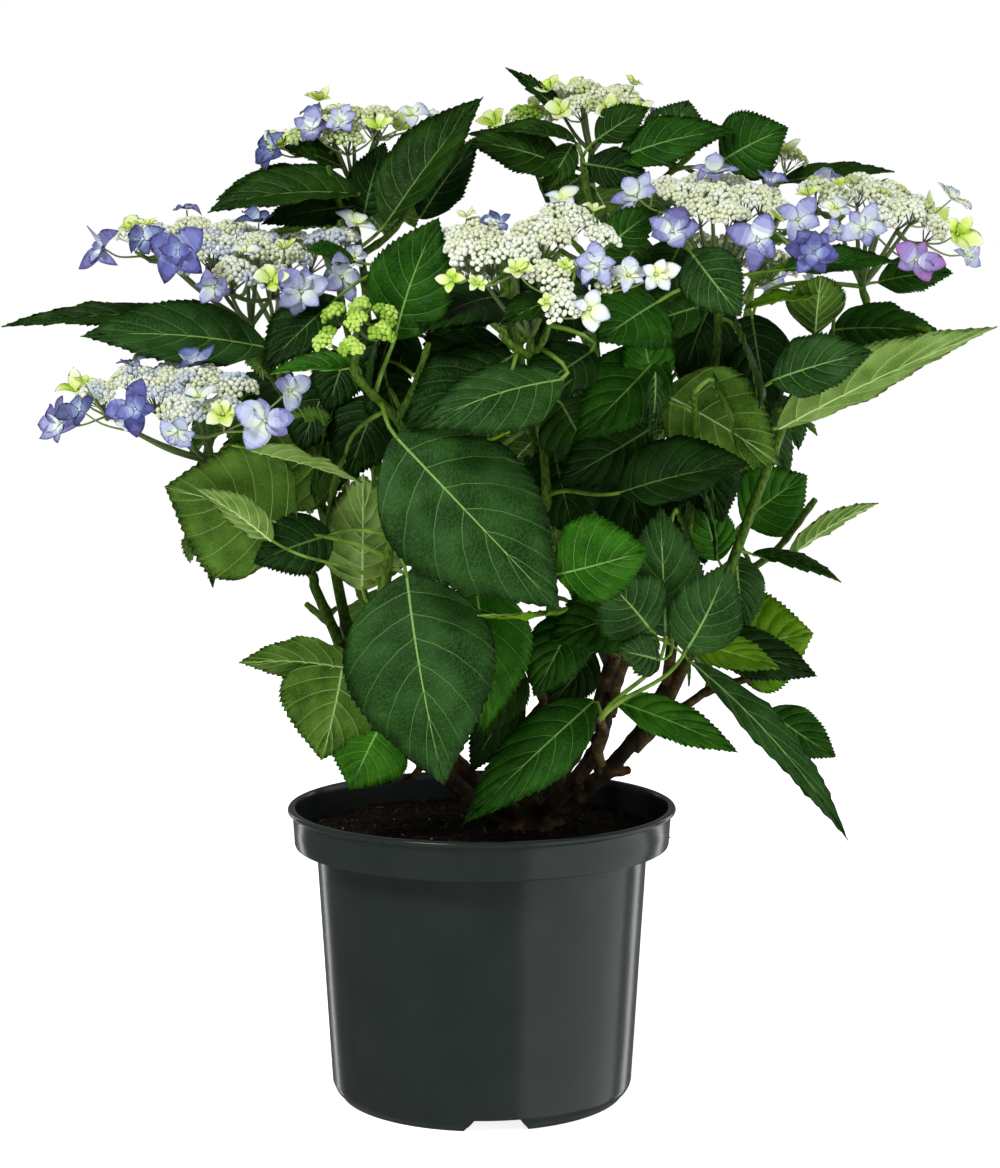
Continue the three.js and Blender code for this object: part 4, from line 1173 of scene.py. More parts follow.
    ("right_inner", (158, -86, 520), (172, -28, 452), (1, 0, 0.3), 29, 24, 10, "mid", "olive"),
    ("right_front", (146, -28, 458), (160, -84, 396), (1, -0.1, 0.3), 28, 24, 10, "mid", "olive"),
    ("right_front", (134, -84, 430), (150, -28, 362), (1, 0, 0.3), 27, 24, 10, "dark", "olive"),
    ("right_low", (132, -24, 376), (144, -64, 306), (1, 0, 0.2), 24, 22, 10, "mid", "olive"),
    ("foot", (104, -84, 384), (118, -34, 322), (1, 0, 0.3), 25, 24, 10, "mid", "olive"),
    ("left_outer", (-98, -30, 500), (-112, -86, 434), (-1, -0.1, 0.3), 28, 24, 10, "dark", "olive"),
    ("left_outer", (-92, -84, 470), (-102, -30, 402), (-1, 0, 0.3), 27, 24, 10, "mid", "olive"),
    ("left_outer", (-80, -20, 436), (-92, -68, 380), (-1, 0, 0.3), 25, 24, 10, "dark", "olive"),
    ("centre", (-60, -50, 572), (-74, -106, 506), (-1, -0.1, 0.3), 28, 24, 10, "dark", "olive"),
    ("centre", (-50, -16, 540), (-66, -70, 472), (-1, 0, 0.3), 29, 24, 10, "mid", "olive"),
    ("front_low", (-54, -20, 424), (-68, -70, 356), (-1, 0, 0.3), 27, 24, 10, "mid", "olive"),
    ("front_low", (-50, -80, 384), (-60, -28, 316), (-1, 0, 0.3), 26, 24, 10, "dark", "olive"),
    ("left_low", (-40, -28, 334), (-50, -74, 276), (-1, 0, 0.3), 22, 22, 10, "mid", "olive"),
    ("middle", (-24, 30, 592), (-52, 96, 536), (-1, -0.1, 0.4), 32, 25, 12, "dark", "olive"),
    ("middle", (-8, 84, 566), (-44, 18, 496), (-1, 0.1, 0.3), 33, 25, 10, "deep", "olive"),
    ("middle", (60, 70, 580), (84, 20, 510), (1, 0.1, 0.3), 33, 25, 10, "dark", "olive"),
    ("back_left", (-30, 92, 530), (-56, 44, 442), (-1, 0, 0.3), 34, 22, 10, "mid", "olive"),
    ("back_left", (-16, 22, 500), (-40, 84, 430), (-1, 0, 0.3), 33, 24, 10, "dark", "olive"),
    ("back_left", (-10, 70, 462), (-34, 122, 384), (-1, 0, 0.3), 33, 24, 12, "mid", "olive"),
    ("low_back_left", (-6, 24, 432), (-28, 60, 346), (-1, 0, 0.3), 31, 22, 10, "dark", "olive"),
    ("low_back_left", (-12, 74, 398), (-30, 24, 326), (-1, 0, 0.3), 28, 24, 10, "mid", "olive"),
    ("low_back_left", (-20, 92, 400), (-52, 146, 338), (-0.8, 0.5, 0.5), 29, 26, 12, "bright", "olive"),
    ("low_back_left", (-70, 116, 352), (-92, 176, 306), (-0.4, 0.6, 0.8), 28, 28, 12, "mid", "olive"),
    ("low_back_left", (-52, 112, 350), (10, 150, 306), (0.3, 0.6, 0.8), 28, 28, 12, "dark", "olive"),
    ("back_right", (134, 30, 586), (154, 96, 522), (1, 0, 0.35), 33, 24, 12, "dark", "olive"),
    ("back_right", (122, 94, 562), (148, 32, 494), (1, 0, 0.3), 33, 24, 10, "mid", "olive"),
    ("back_right", (130, 26, 504), (152, 86, 434), (1, 0, 0.3), 34, 24, 10, "dark", "olive"),
    ("back_right", (120, 84, 476), (142, 134, 400), (1, 0, 0.3), 31, 24, 12, "mid", "olive"),
    ("low_back_right", (112, 22, 436), (132, 64, 356), (1, 0, 0.3), 30, 22, 10, "dark", "olive"),
    ("low_back_right", (112, 70, 404), (128, 22, 336), (1, 0, 0.3), 27, 24, 10, "mid", "olive"),
    ("low_back_right", (106, 92, 412), (140, 146, 350), (0.8, 0.5, 0.5), 29, 26, 12, "bright", "olive"),
    ("back_centre", (40, 120, 470), (0, 190, 410), (-0.3, 0.7, 0.6), 34, 28, 12, "dark", "olive"),
    ("back_centre", (40, 110, 430), (70, 180, 370), (0.3, 0.7, 0.6), 33, 28, 12, "mid", "olive"),
    ("back_centre", (30, 100, 390), (4, 150, 320), (-0.3, 0.8, 0.5), 30, 26, 12, "dark", "olive"),
]

# How the leaves of each mass grow where none has a place of its own: how far their way out is
# lifted above the level, in degrees, and the greens they take.
# A list's darkest green is painted shade, its brightest greens painted light coming through, and a cool green
# a painted sheen.
MASS_HABITS = {
    "left_outer": (-40, ("dark", "mid", "cool")), "left_upper": (-22, ("deep", "dark", "cool")),
    "top_left": (-12, ("dark", "mid", "deep")), "top_centre": (-14, ("dark", "mid", "cool")),
    "top_right": (-8, ("dark", "mid")), "middle": (-30, ("deep", "dark", "dark")),
    "centre": (-42, ("deep", "dark", "mid")), "right_inner": (-42, ("deep", "mid", "dark")),
    "right_outer": (-26, ("dark", "mid", "cool")), "right_side": (-30, ("mid", "bright", "dark")),
    "front_low": (-50, ("cool", "mid", "dark")), "left_low": (-40, ("mid", "dark")),
    "right_front": (-40, ("cool", "mid", "deep")), "foot": (-20, ("mid", "bright")),
    "right_low": (-30, ("bright", "mid", "deep")), "back_left": (-38, ("dark", "mid", "cool")),
    "back_centre": (-38, ("dark", "mid", "cool")), "back_right": (-38, ("dark", "mid", "cool")),
    "low_back_left": (-34, ("mid", "bright", "dark")), "low_back_right": (-34, ("mid", "bright", "dark")),
}
LEAF_REACH = (0.045, 0.185)
LEAF_SHAPE = (0.30, 0.37)
CLEAR_OF_LEADING = 0.025
STALK_THICK = 0.0016
STALK_THIN = 0.0012
WIDE_LEAF = 20  # rows wider than this have a thick stalk
FINE_LEAF = 16  # rows wider than this have more lines between their veins
FOLDED_EDGE = 8  # rows this narrow are the turned-up edge of the leaf beside them, with no stalk
SHOWN = (0.040, 0.045, 0.012)  # no seeded leaf hangs this near in front of a leaf with its own place

limb_points = np.concatenate([path for path, girth in limbs.values()])
stalk_heap = Heap()
leaf_seed = np.random.default_rng(58)


def leaf_stalk(base, way, start, thick):
    """A leaf's stalk, from a place on a limb to the base of its blade."""
    span = np.linalg.norm(base - start)
    lift = unit(base - start + (0, 0, 0.35 * span))
    a, b, c, d = start, start + lift * span * 0.4, base - way * span * 0.4, base + way * 0.003
    t = np.linspace(0, 1, max(4, int(span / 0.006)))[:, None]
    path = a * (1 - t) ** 3 + 3 * b * t * (1 - t) ** 2 + 3 * c * t ** 2 * (1 - t) + d * t ** 3
    stalk_heap.add(*tube(path, thick * (1.15 - 0.4 * t[:, 0]), 7))


def nearest_limb(base, way):
    """The place on a limb where a leaf with this base and way out most likely grew."""
    gaps = base - limb_points
    far = np.linalg.norm(gaps, axis=1)
    behind = gaps @ way / (far + 1e-9)
    rising = gaps[:, 2] / (far + 1e-9)
    return limb_points[int(np.argmin(far * (2.0 - 1.0 * behind - 0.2 * rising)))]


def grow_leaf(heap, base, tip, facing, half_width, bend, fold, green, under, cell, cells, fine):
    """Adds a leaf to its mass's heap."""
    way = unit(tip - base)
    lines, faces, kinds = leaf_plans["fine" if fine else "plain"]
    flat = flat_leaf(lines, np.linalg.norm(tip - base), half_width, leaf_seed)
    points = bent_leaf(flat, half_width, base, tip, unit(facing), bend, fold, leaf_seed.uniform(0.05, 0.2),
                       leaf_seed.uniform(-18, 18), leaf_seed.uniform(-0.03, 0.03),
                       leaf_seed.uniform(0.0006, 0.0016), leaf_seed)
    top, low = leaf_kinds[green], leaf_kinds[under]
    slots = (top, top + 1, top + 2, low, low + 1, low + 2)
    chart = leaf_charts(flat, half_width, faces, kinds, cell, cells)
    heap.add(points, faces, [slots[kind] for kind in kinds], chart)


def seeded_leaves(name, leading):
    """Base, tip, facing, half-width, bend, fold and green of the leaves on a mass's own nodes."""
    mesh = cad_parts["foliage_" + name].data
    tree = BVHTree.FromPolygons([v.co for v in mesh.vertices], [p.vertices for p in mesh.polygons])
    lift, greens = MASS_HABITS[name]
    grown_leaves = []
    for limb in shoots_of["foliage_" + name]:
        path, girth = limbs[limb]
        turn = leaf_seed.uniform(0, math.pi)
        for rank, at in enumerate(nodes[limb]):
            turn += math.pi / 2 + leaf_seed.normal(0, 0.16)
            node = path[at]
            for way_round in (turn, turn + math.pi):
                rise = math.radians(lift + 16 - 9 * rank + leaf_seed.normal(0, 7))
                way = np.array([math.cos(way_round) * math.cos(rise), math.sin(way_round) * math.cos(rise),
                                math.sin(rise)])
                exits = []
                probe = Vector(node)
                while len(exits) < 6:
                    hit, _, _, _ = tree.ray_cast(probe, Vector(way))
                    if hit is None:
                        break
                    exits.append(np.linalg.norm(np.array(hit) - node))
                    probe = hit + Vector(way) * 1e-5
                roll, lean, shape, curl, crease, pick = leaf_seed.random(6)
                if not exits or exits[-1] < LEAF_REACH[0]:
                    continue
                reach = min(exits[-1], LEAF_REACH[1])
                stalk = 0.012 + 0.14 * reach
                tip = node + way * reach - (0, 0, 0.10 * reach)
                base = node + unit(way + (0, 0, 0.25)) * stalk
                if any(np.linalg.norm(tip - other) < CLEAR_OF_LEADING for other in leading):
                    continue
                middle = (base + tip) / 2
                if in_gap(middle) or in_gap(tip):
                    continue
                if any(abs(spot[0] - x) < SHOWN[0] and abs(spot[2] - z) < SHOWN[1] and spot[1] < y + SHOWN[2]
                       for x, y, z in leading for spot in (middle, 0.4 * middle + 0.6 * tip)):
                    continue
                facing = np.array([way[0] * 0.35, way[1] * 0.35, 1.0])
                facing = facing + 0.5 * (roll - 0.5) * np.cross(way, (0, 0, 1))
                length = np.linalg.norm(tip - base)
                width = length * (LEAF_SHAPE[0] + (LEAF_SHAPE[1] - LEAF_SHAPE[0]) * shape)
                green = greens[int(pick * len(greens))]
                grown_leaves.append((node, base, tip, facing, width, 22 + 26 * curl, 4 + 20 * crease, green))
    return grown_leaves


for name in MASS_HABITS:
    leading = [row[1:] for row in LEADING_LEAVES if row[0] == name]
    taken = [np.array(share) / 1000 for row in leading for share in (row[1], row[0])]
    taken += [(a + b) / 2 for a, b in zip(taken[0::2], taken[1::2])]
    seeded = seeded_leaves(name, taken)
    cells = math.ceil(math.sqrt(len(leading) + len(seeded)))
    leaves = Heap()
    for cell, (base, tip, facing, width, bend, fold, green, under) in enumerate(leading):
        base, tip = np.array(base) / 1000, np.array(tip) / 1000
        way = unit(tip - base)
        if width > FOLDED_EDGE:
            thick = STALK_THICK if width > WIDE_LEAF else STALK_THIN
            leaf_stalk(base, way, nearest_limb(base, way), thick)
        grow_leaf(leaves, base, tip, np.array(facing, float), width / 1000, bend, fold, green, under,
                  cell, cells, width > FINE_LEAF)
    for cell, (node, base, tip, facing, width, bend, fold, green) in enumerate(seeded, len(leading)):
        leaf_stalk(base, unit(tip - base), node, STALK_THICK)
        # Seeded leaves take the darker underside, a painted shade.
        grow_leaf(leaves, base, tip, facing, width, bend, fold, green, "olive", cell, cells, False)
    piece = leaves.piece("leaves_" + name, leaf_materials)
    hand_over(piece, "foliage", "foliage_" + name)

stalk_green, stalk_shader = principled("stalk_green", srgb(92, 126, 38), 0.5, Specular_IOR_Level=0.2)
mottled(stalk_green, stalk_shader, 90.0,
        [(0.3, srgb(62, 96, 20)), (0.5, srgb(88, 122, 34)), (0.75, srgb(118, 150, 62))])
stalks = stalk_heap.piece("leaf_stalks", [stalk_green])
hand_over(stalks, "stem")
# Flower heads: a flat cushion of small round buds in lobes on rays that fork three times, ringed
# by showy florets with pointed sepals. The florets open lime, turn pale and then lavender, and end
# in violet-blue. One young head is still all green.

BUD_TINTS = {
    "bud_cream": (208, 214, 182), "bud_white": (216, 221, 204), "bud_blue": (184, 195, 204),
    "bud_green": (176, 192, 130), "bud_lime": (126, 164, 44), "bud_pale_lime": (166, 196, 84),
}
SEPAL_TONES = {
    "lime": ((150, 188, 44), (186, 210, 92), (206, 220, 146), (214, 222, 190)),
    "pale": ((206, 220, 140), (214, 224, 196), (200, 210, 214), (172, 178, 206)),
    "lavender": ((200, 212, 194), (174, 184, 204), (148, 154, 192), (116, 114, 166)),
    "violet": ((206, 216, 208), (146, 152, 192), (106, 108, 160), (82, 78, 128)),
    "blue": ((170, 184, 196), (108, 122, 164), (72, 82, 128), (50, 54, 96)),
    "deep": ((160, 176, 200), (110, 116, 176), (80, 84, 146), (60, 56, 110)),
    "magenta": ((190, 196, 204), (136, 128, 180), (132, 106, 164), (136, 84, 146)),
}
YOUNG_TO_OLD = ("lime", "pale", "lavender", "violet", "blue")
TONE_STEPS = 6
SEPAL_ROWS = np.array([0.0, 0.12, 0.27, 0.43, 0.59, 0.74, 0.88, 1.0])
SEPAL_COLUMNS = np.array([-1.0, -0.55, 0.0, 0.55, 1.0])
SEPAL_THICKNESS = 0.00022
BUD_RADIUS = (0.0018, 0.0023)
CLUSTER_REACH = 0.0066
CLUSTER_BUDS = (9, 12)
RING_GAP = 40
YOUNG_TINT = 4  # the tint of a head too young for a ring of florets
GOLDEN_ANGLE = 2.39996
DOUBLE_FLORET = 0.0165  # a floret larger than this may be double
FIRST_HEAD_SEED = 300
RAY_FORKS = 0.55  # share of the half-width beyond which a ray branches off its neighbour


def bud_ball():
    """A bud of unit radius, drawn in a little at its crown, where its petals will part."""
    points, faces = turned([(0, -0.95), (0.94, -0.42), (0.86, 0.5), (0, 0.86)], 6)
    return new_piece("bud_ball", points, faces, [])


def bud_tree(tints):
    """Sets a bud on each point, along its normal, and paints it with its own tint."""
    group, start, end = node_group("set_buds", [("Bud", "NodeSocketObject")])
    bud = group.nodes.new("GeometryNodeObjectInfo")
    turn = group.nodes.new("FunctionNodeAlignRotationToVector")
    turn.axis = "Z"
    put = group.nodes.new("GeometryNodeInstanceOnPoints")
    real = group.nodes.new("GeometryNodeRealizeInstances")
    way = group.nodes.new("GeometryNodeInputNamedAttribute")
    way.data_type = "FLOAT_VECTOR"
    way.inputs["Name"].default_value = "way"
    size = group.nodes.new("GeometryNodeInputNamedAttribute")
    size.data_type = "FLOAT"
    size.inputs["Name"].default_value = "size"
    tint = group.nodes.new("GeometryNodeInputNamedAttribute")
    tint.data_type = "INT"
    tint.inputs["Name"].default_value = "tint"
    join(group, start, "Geometry", put, "Points")
    join(group, start, "Bud", bud, "Object")
    join(group, bud, "Geometry", put, "Instance")
    join(group, way, "Attribute", turn, "Vector")
    join(group, turn, "Rotation", put, "Rotation")
    join(group, size, "Attribute", put, "Scale")
    join(group, put, "Instances", real, "Geometry")
    last = real
    for place, material in enumerate(tints):
        same = group.nodes.new("FunctionNodeCompare")
        same.data_type = "INT"
        same.operation = "EQUAL"
        group.links.new(tint.outputs["Attribute"], same.inputs[2])
        same.inputs[3].default_value = place
        paint = group.nodes.new("GeometryNodeSetMaterial")
        paint.inputs["Material"].default_value = material
        join(group, last, "Geometry", paint, "Geometry")
        join(group, same, "Result", paint, "Selection")
        last = paint
    join(group, last, "Geometry", end, "Geometry")
    return group


def sepal_sheets():
    """Faces and tone numbers of one sepal's two sheets, which share their outline."""
    rows, columns = len(SEPAL_ROWS), len(SEPAL_COLUMNS)
    upper = np.arange(rows * columns).reshape(rows, columns)
    lower = upper + rows * columns
    lower[:, [0, -1]] = upper[:, [0, -1]]
    lower[[0, -1], :] = upper[[0, -1], :]
    faces, tones = [], []
    for i in range(rows - 1):
        for j in range(columns - 1):
            corners = [(i, j), (i, j + 1), (i + 1, j + 1), (i + 1, j)]
            along = (SEPAL_ROWS[i] + SEPAL_ROWS[i + 1]) / 2
            aside = abs(SEPAL_COLUMNS[j] + SEPAL_COLUMNS[j + 1]) / 2
            tone = round((TONE_STEPS - 1) * min(1.0, along ** 0.85 * (0.9 + 0.3 * aside)))
            for sheet, turn in ((upper, 1), (lower, -1)):
                faces.append(tuple(int(sheet[at]) for at in corners)[::turn])
                tones.append(tone)
    return faces, tones


SEPAL_FACES, SEPAL_STEPS = sepal_sheets()


def sepal(length, breadth, cup, curl, seed):
    """One sepal growing along +X with its face up: narrow at the claw, broad, then pointed."""
    s, c = np.meshgrid(SEPAL_ROWS, SEPAL_COLUMNS, indexing="ij")
    width = breadth * np.clip(s / 0.44, 0.03, None) ** 0.72 * np.clip((1 - s) / 0.56, 0, None) ** 0.95
    width = width * np.where(s > 0.44, 1.0, np.clip(1.25 - 0.25 * s / 0.44, 1, 2))
    x = length * s * (1 - 0.10 * cup * s)
    y = width * c
    z = length * (cup * s ** 1.4 - 0.34 * curl * s ** 3) + curl * 0.5 * y ** 2 / breadth
    z = z + 0.0005 * np.sin(8 * s + 3 * c + seed.uniform(0, 6)) * s
    upper = np.stack([x, y, z], -1).reshape(-1, 3)
    return np.concatenate([upper, upper - (0, 0, SEPAL_THICKNESS)])


def turning(axis):
    """A rotation matrix that takes Z to the axis, as a numpy array."""
    return np.array(Vector((0, 0, 1)).rotation_difference(Vector(axis)).to_matrix())


def add_whorl(place, base, count, size, openness, spin, tones, seed):
    """One ring of sepals round a floret's eye."""
    for k in range(count):
        length = size * seed.uniform(0.70, 1.16)
        shape = sepal(length, length * seed.uniform(0.32, 0.42), openness + seed.uniform(-0.3, 0.35),
                      seed.uniform(0.2, 1.6), seed)
        wheel = np.array(Matrix.Rotation(spin + math.tau * k / count + seed.normal(0, 0.16), 3, "Z"))
        lifted = shape + (0.0006, 0, 0.0004 * (k % 2))
        shift = int(seed.integers(-1, 2))
        steps = [tones + min(max(step + shift, 0), TONE_STEPS - 1) for step in SEPAL_STEPS]
        floret_heap.add(lifted @ wheel.T @ base.T + place, SEPAL_FACES, steps)


def add_floret(place, axis, size, kind, seed):
    """A showy floret: its sepals, and the bud at its eye. Some large ones are double."""
    count = int(seed.choice([4, 4, 5, 5, 6]))
    spin = seed.uniform(0, math.tau)
    openness = seed.uniform(0.25, 0.6) + (0.35 if kind == "lime" else 0.0)
    base = turning(axis)
    add_whorl(place, base, count, size, openness, spin, sepal_slots[kind], seed)
    if size > DOUBLE_FLORET and seed.random() < 0.3:
        add_whorl(place + base @ (0, 0, 0.0012), base, 4, size * 0.62, openness + 0.5, spin + 0.5,
                  sepal_slots[kind], seed)
    eye_tint = 2 if kind in ("violet", "blue", "deep") else 3
    buds.append((place + np.array(axis) * 0.0008, axis, 0.0013, eye_tint))


def ray(points, foot, tip, sides, kind=0):
    path, places = smooth_path(points, 0.006)
    ray_heap.add(*tube(path, foot + (tip - foot) * places, sides), kind)


def spike(node, place, girth):
    """A bud's own stalk, thin as a thread: three sides that meet where it leaves the cluster."""
    way = unit(place - node)
    aside = unit(np.cross(way, (0.3, 0.5, 0.8)))
    other = np.cross(way, aside)
    ring = [place + girth * (math.cos(turn) * aside + math.sin(turn) * other) for turn in (0, 2.1, 4.2)]
    ray_heap.add([node, *ring], [(0, 2, 1), (0, 3, 2), (0, 1, 3), (1, 2, 3)], 1)


def sown(count, reach, first):
    """Evenly sown places in a disc, in the spiral of a sunflower: across, up and share of reach."""
    share = np.sqrt((np.arange(count) + 0.5) / count)
    turn = first + np.arange(count) * GOLDEN_ANGLE
    return np.stack([reach * share * np.cos(turn), reach * share * np.sin(turn), share], 1)


def grow_lobe(fork, centre, axis, reach, tints, seed):
    """One lobe of the cushion: a ray, its clusters on a low dome, and the buds of each."""
    joint = centre - axis * reach * 0.95
    ray([fork, fork + (joint - fork) * 0.55 - axis * 0.004, joint], 0.0021, 0.0013, 6)
    base = turning(axis)
    count = max(3, round((reach / CLUSTER_REACH) ** 2))
    small = reach / math.sqrt(count) * 1.04
    for x, y, share in sown(count, reach - small * 0.7, seed.uniform(0, 6)):
        seat = centre + base @ (x, y, 0.34 * reach * (1 - share ** 2) - 0.2 * small)
        way = unit(base @ (x * 0.9, y * 0.9, reach))
        own = turning(way)
        node = seat - way * small * 1.05
        straight(joint, node, 0.0007)
        tint = tints[int(seed.integers(len(tints)))]
        for u, v, out in sown(int(seed.integers(*CLUSTER_BUDS)), small * 0.88, seed.uniform(0, 6)):
            place = seat + own @ (u, v, 0.5 * small * (1 - out ** 2) + seed.uniform(-0.0006, 0.0006))
            bud_way = unit(own @ (u * 0.9, v * 0.9, small))
            spike(node, place, 0.0005)
            buds.append((place, bud_way, seed.uniform(*BUD_RADIUS), tint))
    return joint


def straight(a, b, girth):
    """A stalk with three sides."""
    ray_heap.add(*tube(np.array([a, b]), (girth, girth * 0.9), 3), 0)


def grow_head(name, lobes, tints, florets, seed):
    """Rays, buds and florets of one head."""
    rim, axis, half, dome, fork = head_seat(name)
    right = unit(np.cross((0, 1, 0), axis))
    up = np.cross(axis, right)
    if isinstance(lobes, int):
        reach = CUSHION_SHARE * math.sqrt(half[0] * half[1] / lobes) * 1.02
        spots = sown(lobes, 1 - 0.6 / math.sqrt(lobes), seed.uniform(0, 6))
        lobes = [(x * half[0] * CUSHION_SHARE * 1000, y * half[1] * CUSHION_SHARE * 1000, reach * 1000)
                 for x, y, share in spots]
    joints = [fork]
    for x, y, reach in sorted(lobes, key=lambda lobe: math.hypot(lobe[0], lobe[1])):
        x, y, reach = x / 1000, y / 1000, reach * 1.06 / 1000
        out = math.hypot(x / half[0], y / half[1])
        centre = rim + right * x + up * y + axis * (dome * (1 - 1.5 * out ** 2) + seed.uniform(-0.002, 0.002))
        lean = unit(axis + (right * x / half[0] + up * y / half[1]) * 0.45)
        start = fork if out < RAY_FORKS else min(joints, key=lambda at: np.linalg.norm(at - centre))
        joints.append(grow_lobe(start, centre, lean, reach, tints, seed))
    rows = [(np.array(place) / 1000, unit(np.array(face, float)), kind, size)
            for place, face, kind, size in florets]
    taken = [math.atan2(place @ up / half[1], place @ right / half[0]) for place, *_ in rows]
    ringed = len(lobes) > 3 and tints[1] != YOUNG_TINT
    for turn in np.arange(0, math.tau, math.radians(RING_GAP)) if ringed else ():
        turn = turn + seed.uniform(-0.15, 0.15)
        behind = math.sin(turn) > 0.1 or len(rows) < 4
        if behind and all(abs(math.remainder(turn - other, math.tau)) > 0.5 for other in taken):
            reach = seed.uniform(0.8, 0.95)
            place = (right * math.cos(turn) * half[0] + up * math.sin(turn) * half[1]) * reach
            face = unit(place / half.mean() + axis * seed.uniform(0.5, 0.9))
            kind = YOUNG_TO_OLD[int(seed.integers(len(YOUNG_TO_OLD)))]
            rows.append((place - axis * seed.uniform(0, 0.008), face, kind, seed.uniform(13, 17)))
    for place, face, kind, size in rows:
        spot = rim + place
        joint = min(joints, key=lambda at: np.linalg.norm(at - spot))
        ray([joint, joint + (spot - joint) * 0.6 - axis * 0.004, spot - face * 0.001], 0.0009, 0.0006, 5, 1)
        add_floret(spot, face, size / 1000, kind, seed)


CUSHION_SHARE = 0.8
# Lobes in millimetres from the middle of the head: across, up the slope and reach.
SIDE_LOBES = [(-52, 33, 15), (-28, 42, 18), (2, 47, 18), (24, 34, 15), (-8, 2, 20), (20, 12, 19),
              (46, 14, 18), (12, -28, 18), (42, -22, 17), (-24, -22, 15), (-46, 8, 13)]
HEAD_LOBES = {
    "head_left_low": SIDE_LOBES, "head_left_mid": [(-72, 40, 13), (-62, 16, 13), *SIDE_LOBES],
    "head_bud": [
        (-19, -12, 9), (-14, 12, 9), (3, 18, 8), (19, 13, 10), (1, -1, 9), (17, -8, 9), (-3, -19, 8)],
    "head_centre": [(-52, 26, 12), (22, 42, 22), (8, 14, 22), (-34, 28, 17), (-40, 2, 20), (-14, -6, 19),
                    (12, -28, 17),
                    (20, -50, 14), (48, -22, 14), (46, 30, 15)],
    "head_right_mid": [(-38, 28, 16), (-15, 35, 17), (10, 36, 17), (32, 22, 15), (-30, 0, 16), (-6, -6, 18),
                       (19, 0, 18), (39, -8, 14), (4, -30, 14), (-16, -26, 14)],
    "head_right_outer": [(-43, 6, 14), (-27, -12, 14), (-10, 26, 17), (13, 30, 17), (33, 22, 15), (-2, 0, 17),
                         (20, -14, 16), (43, -10, 14), (2, -28, 13)],
}
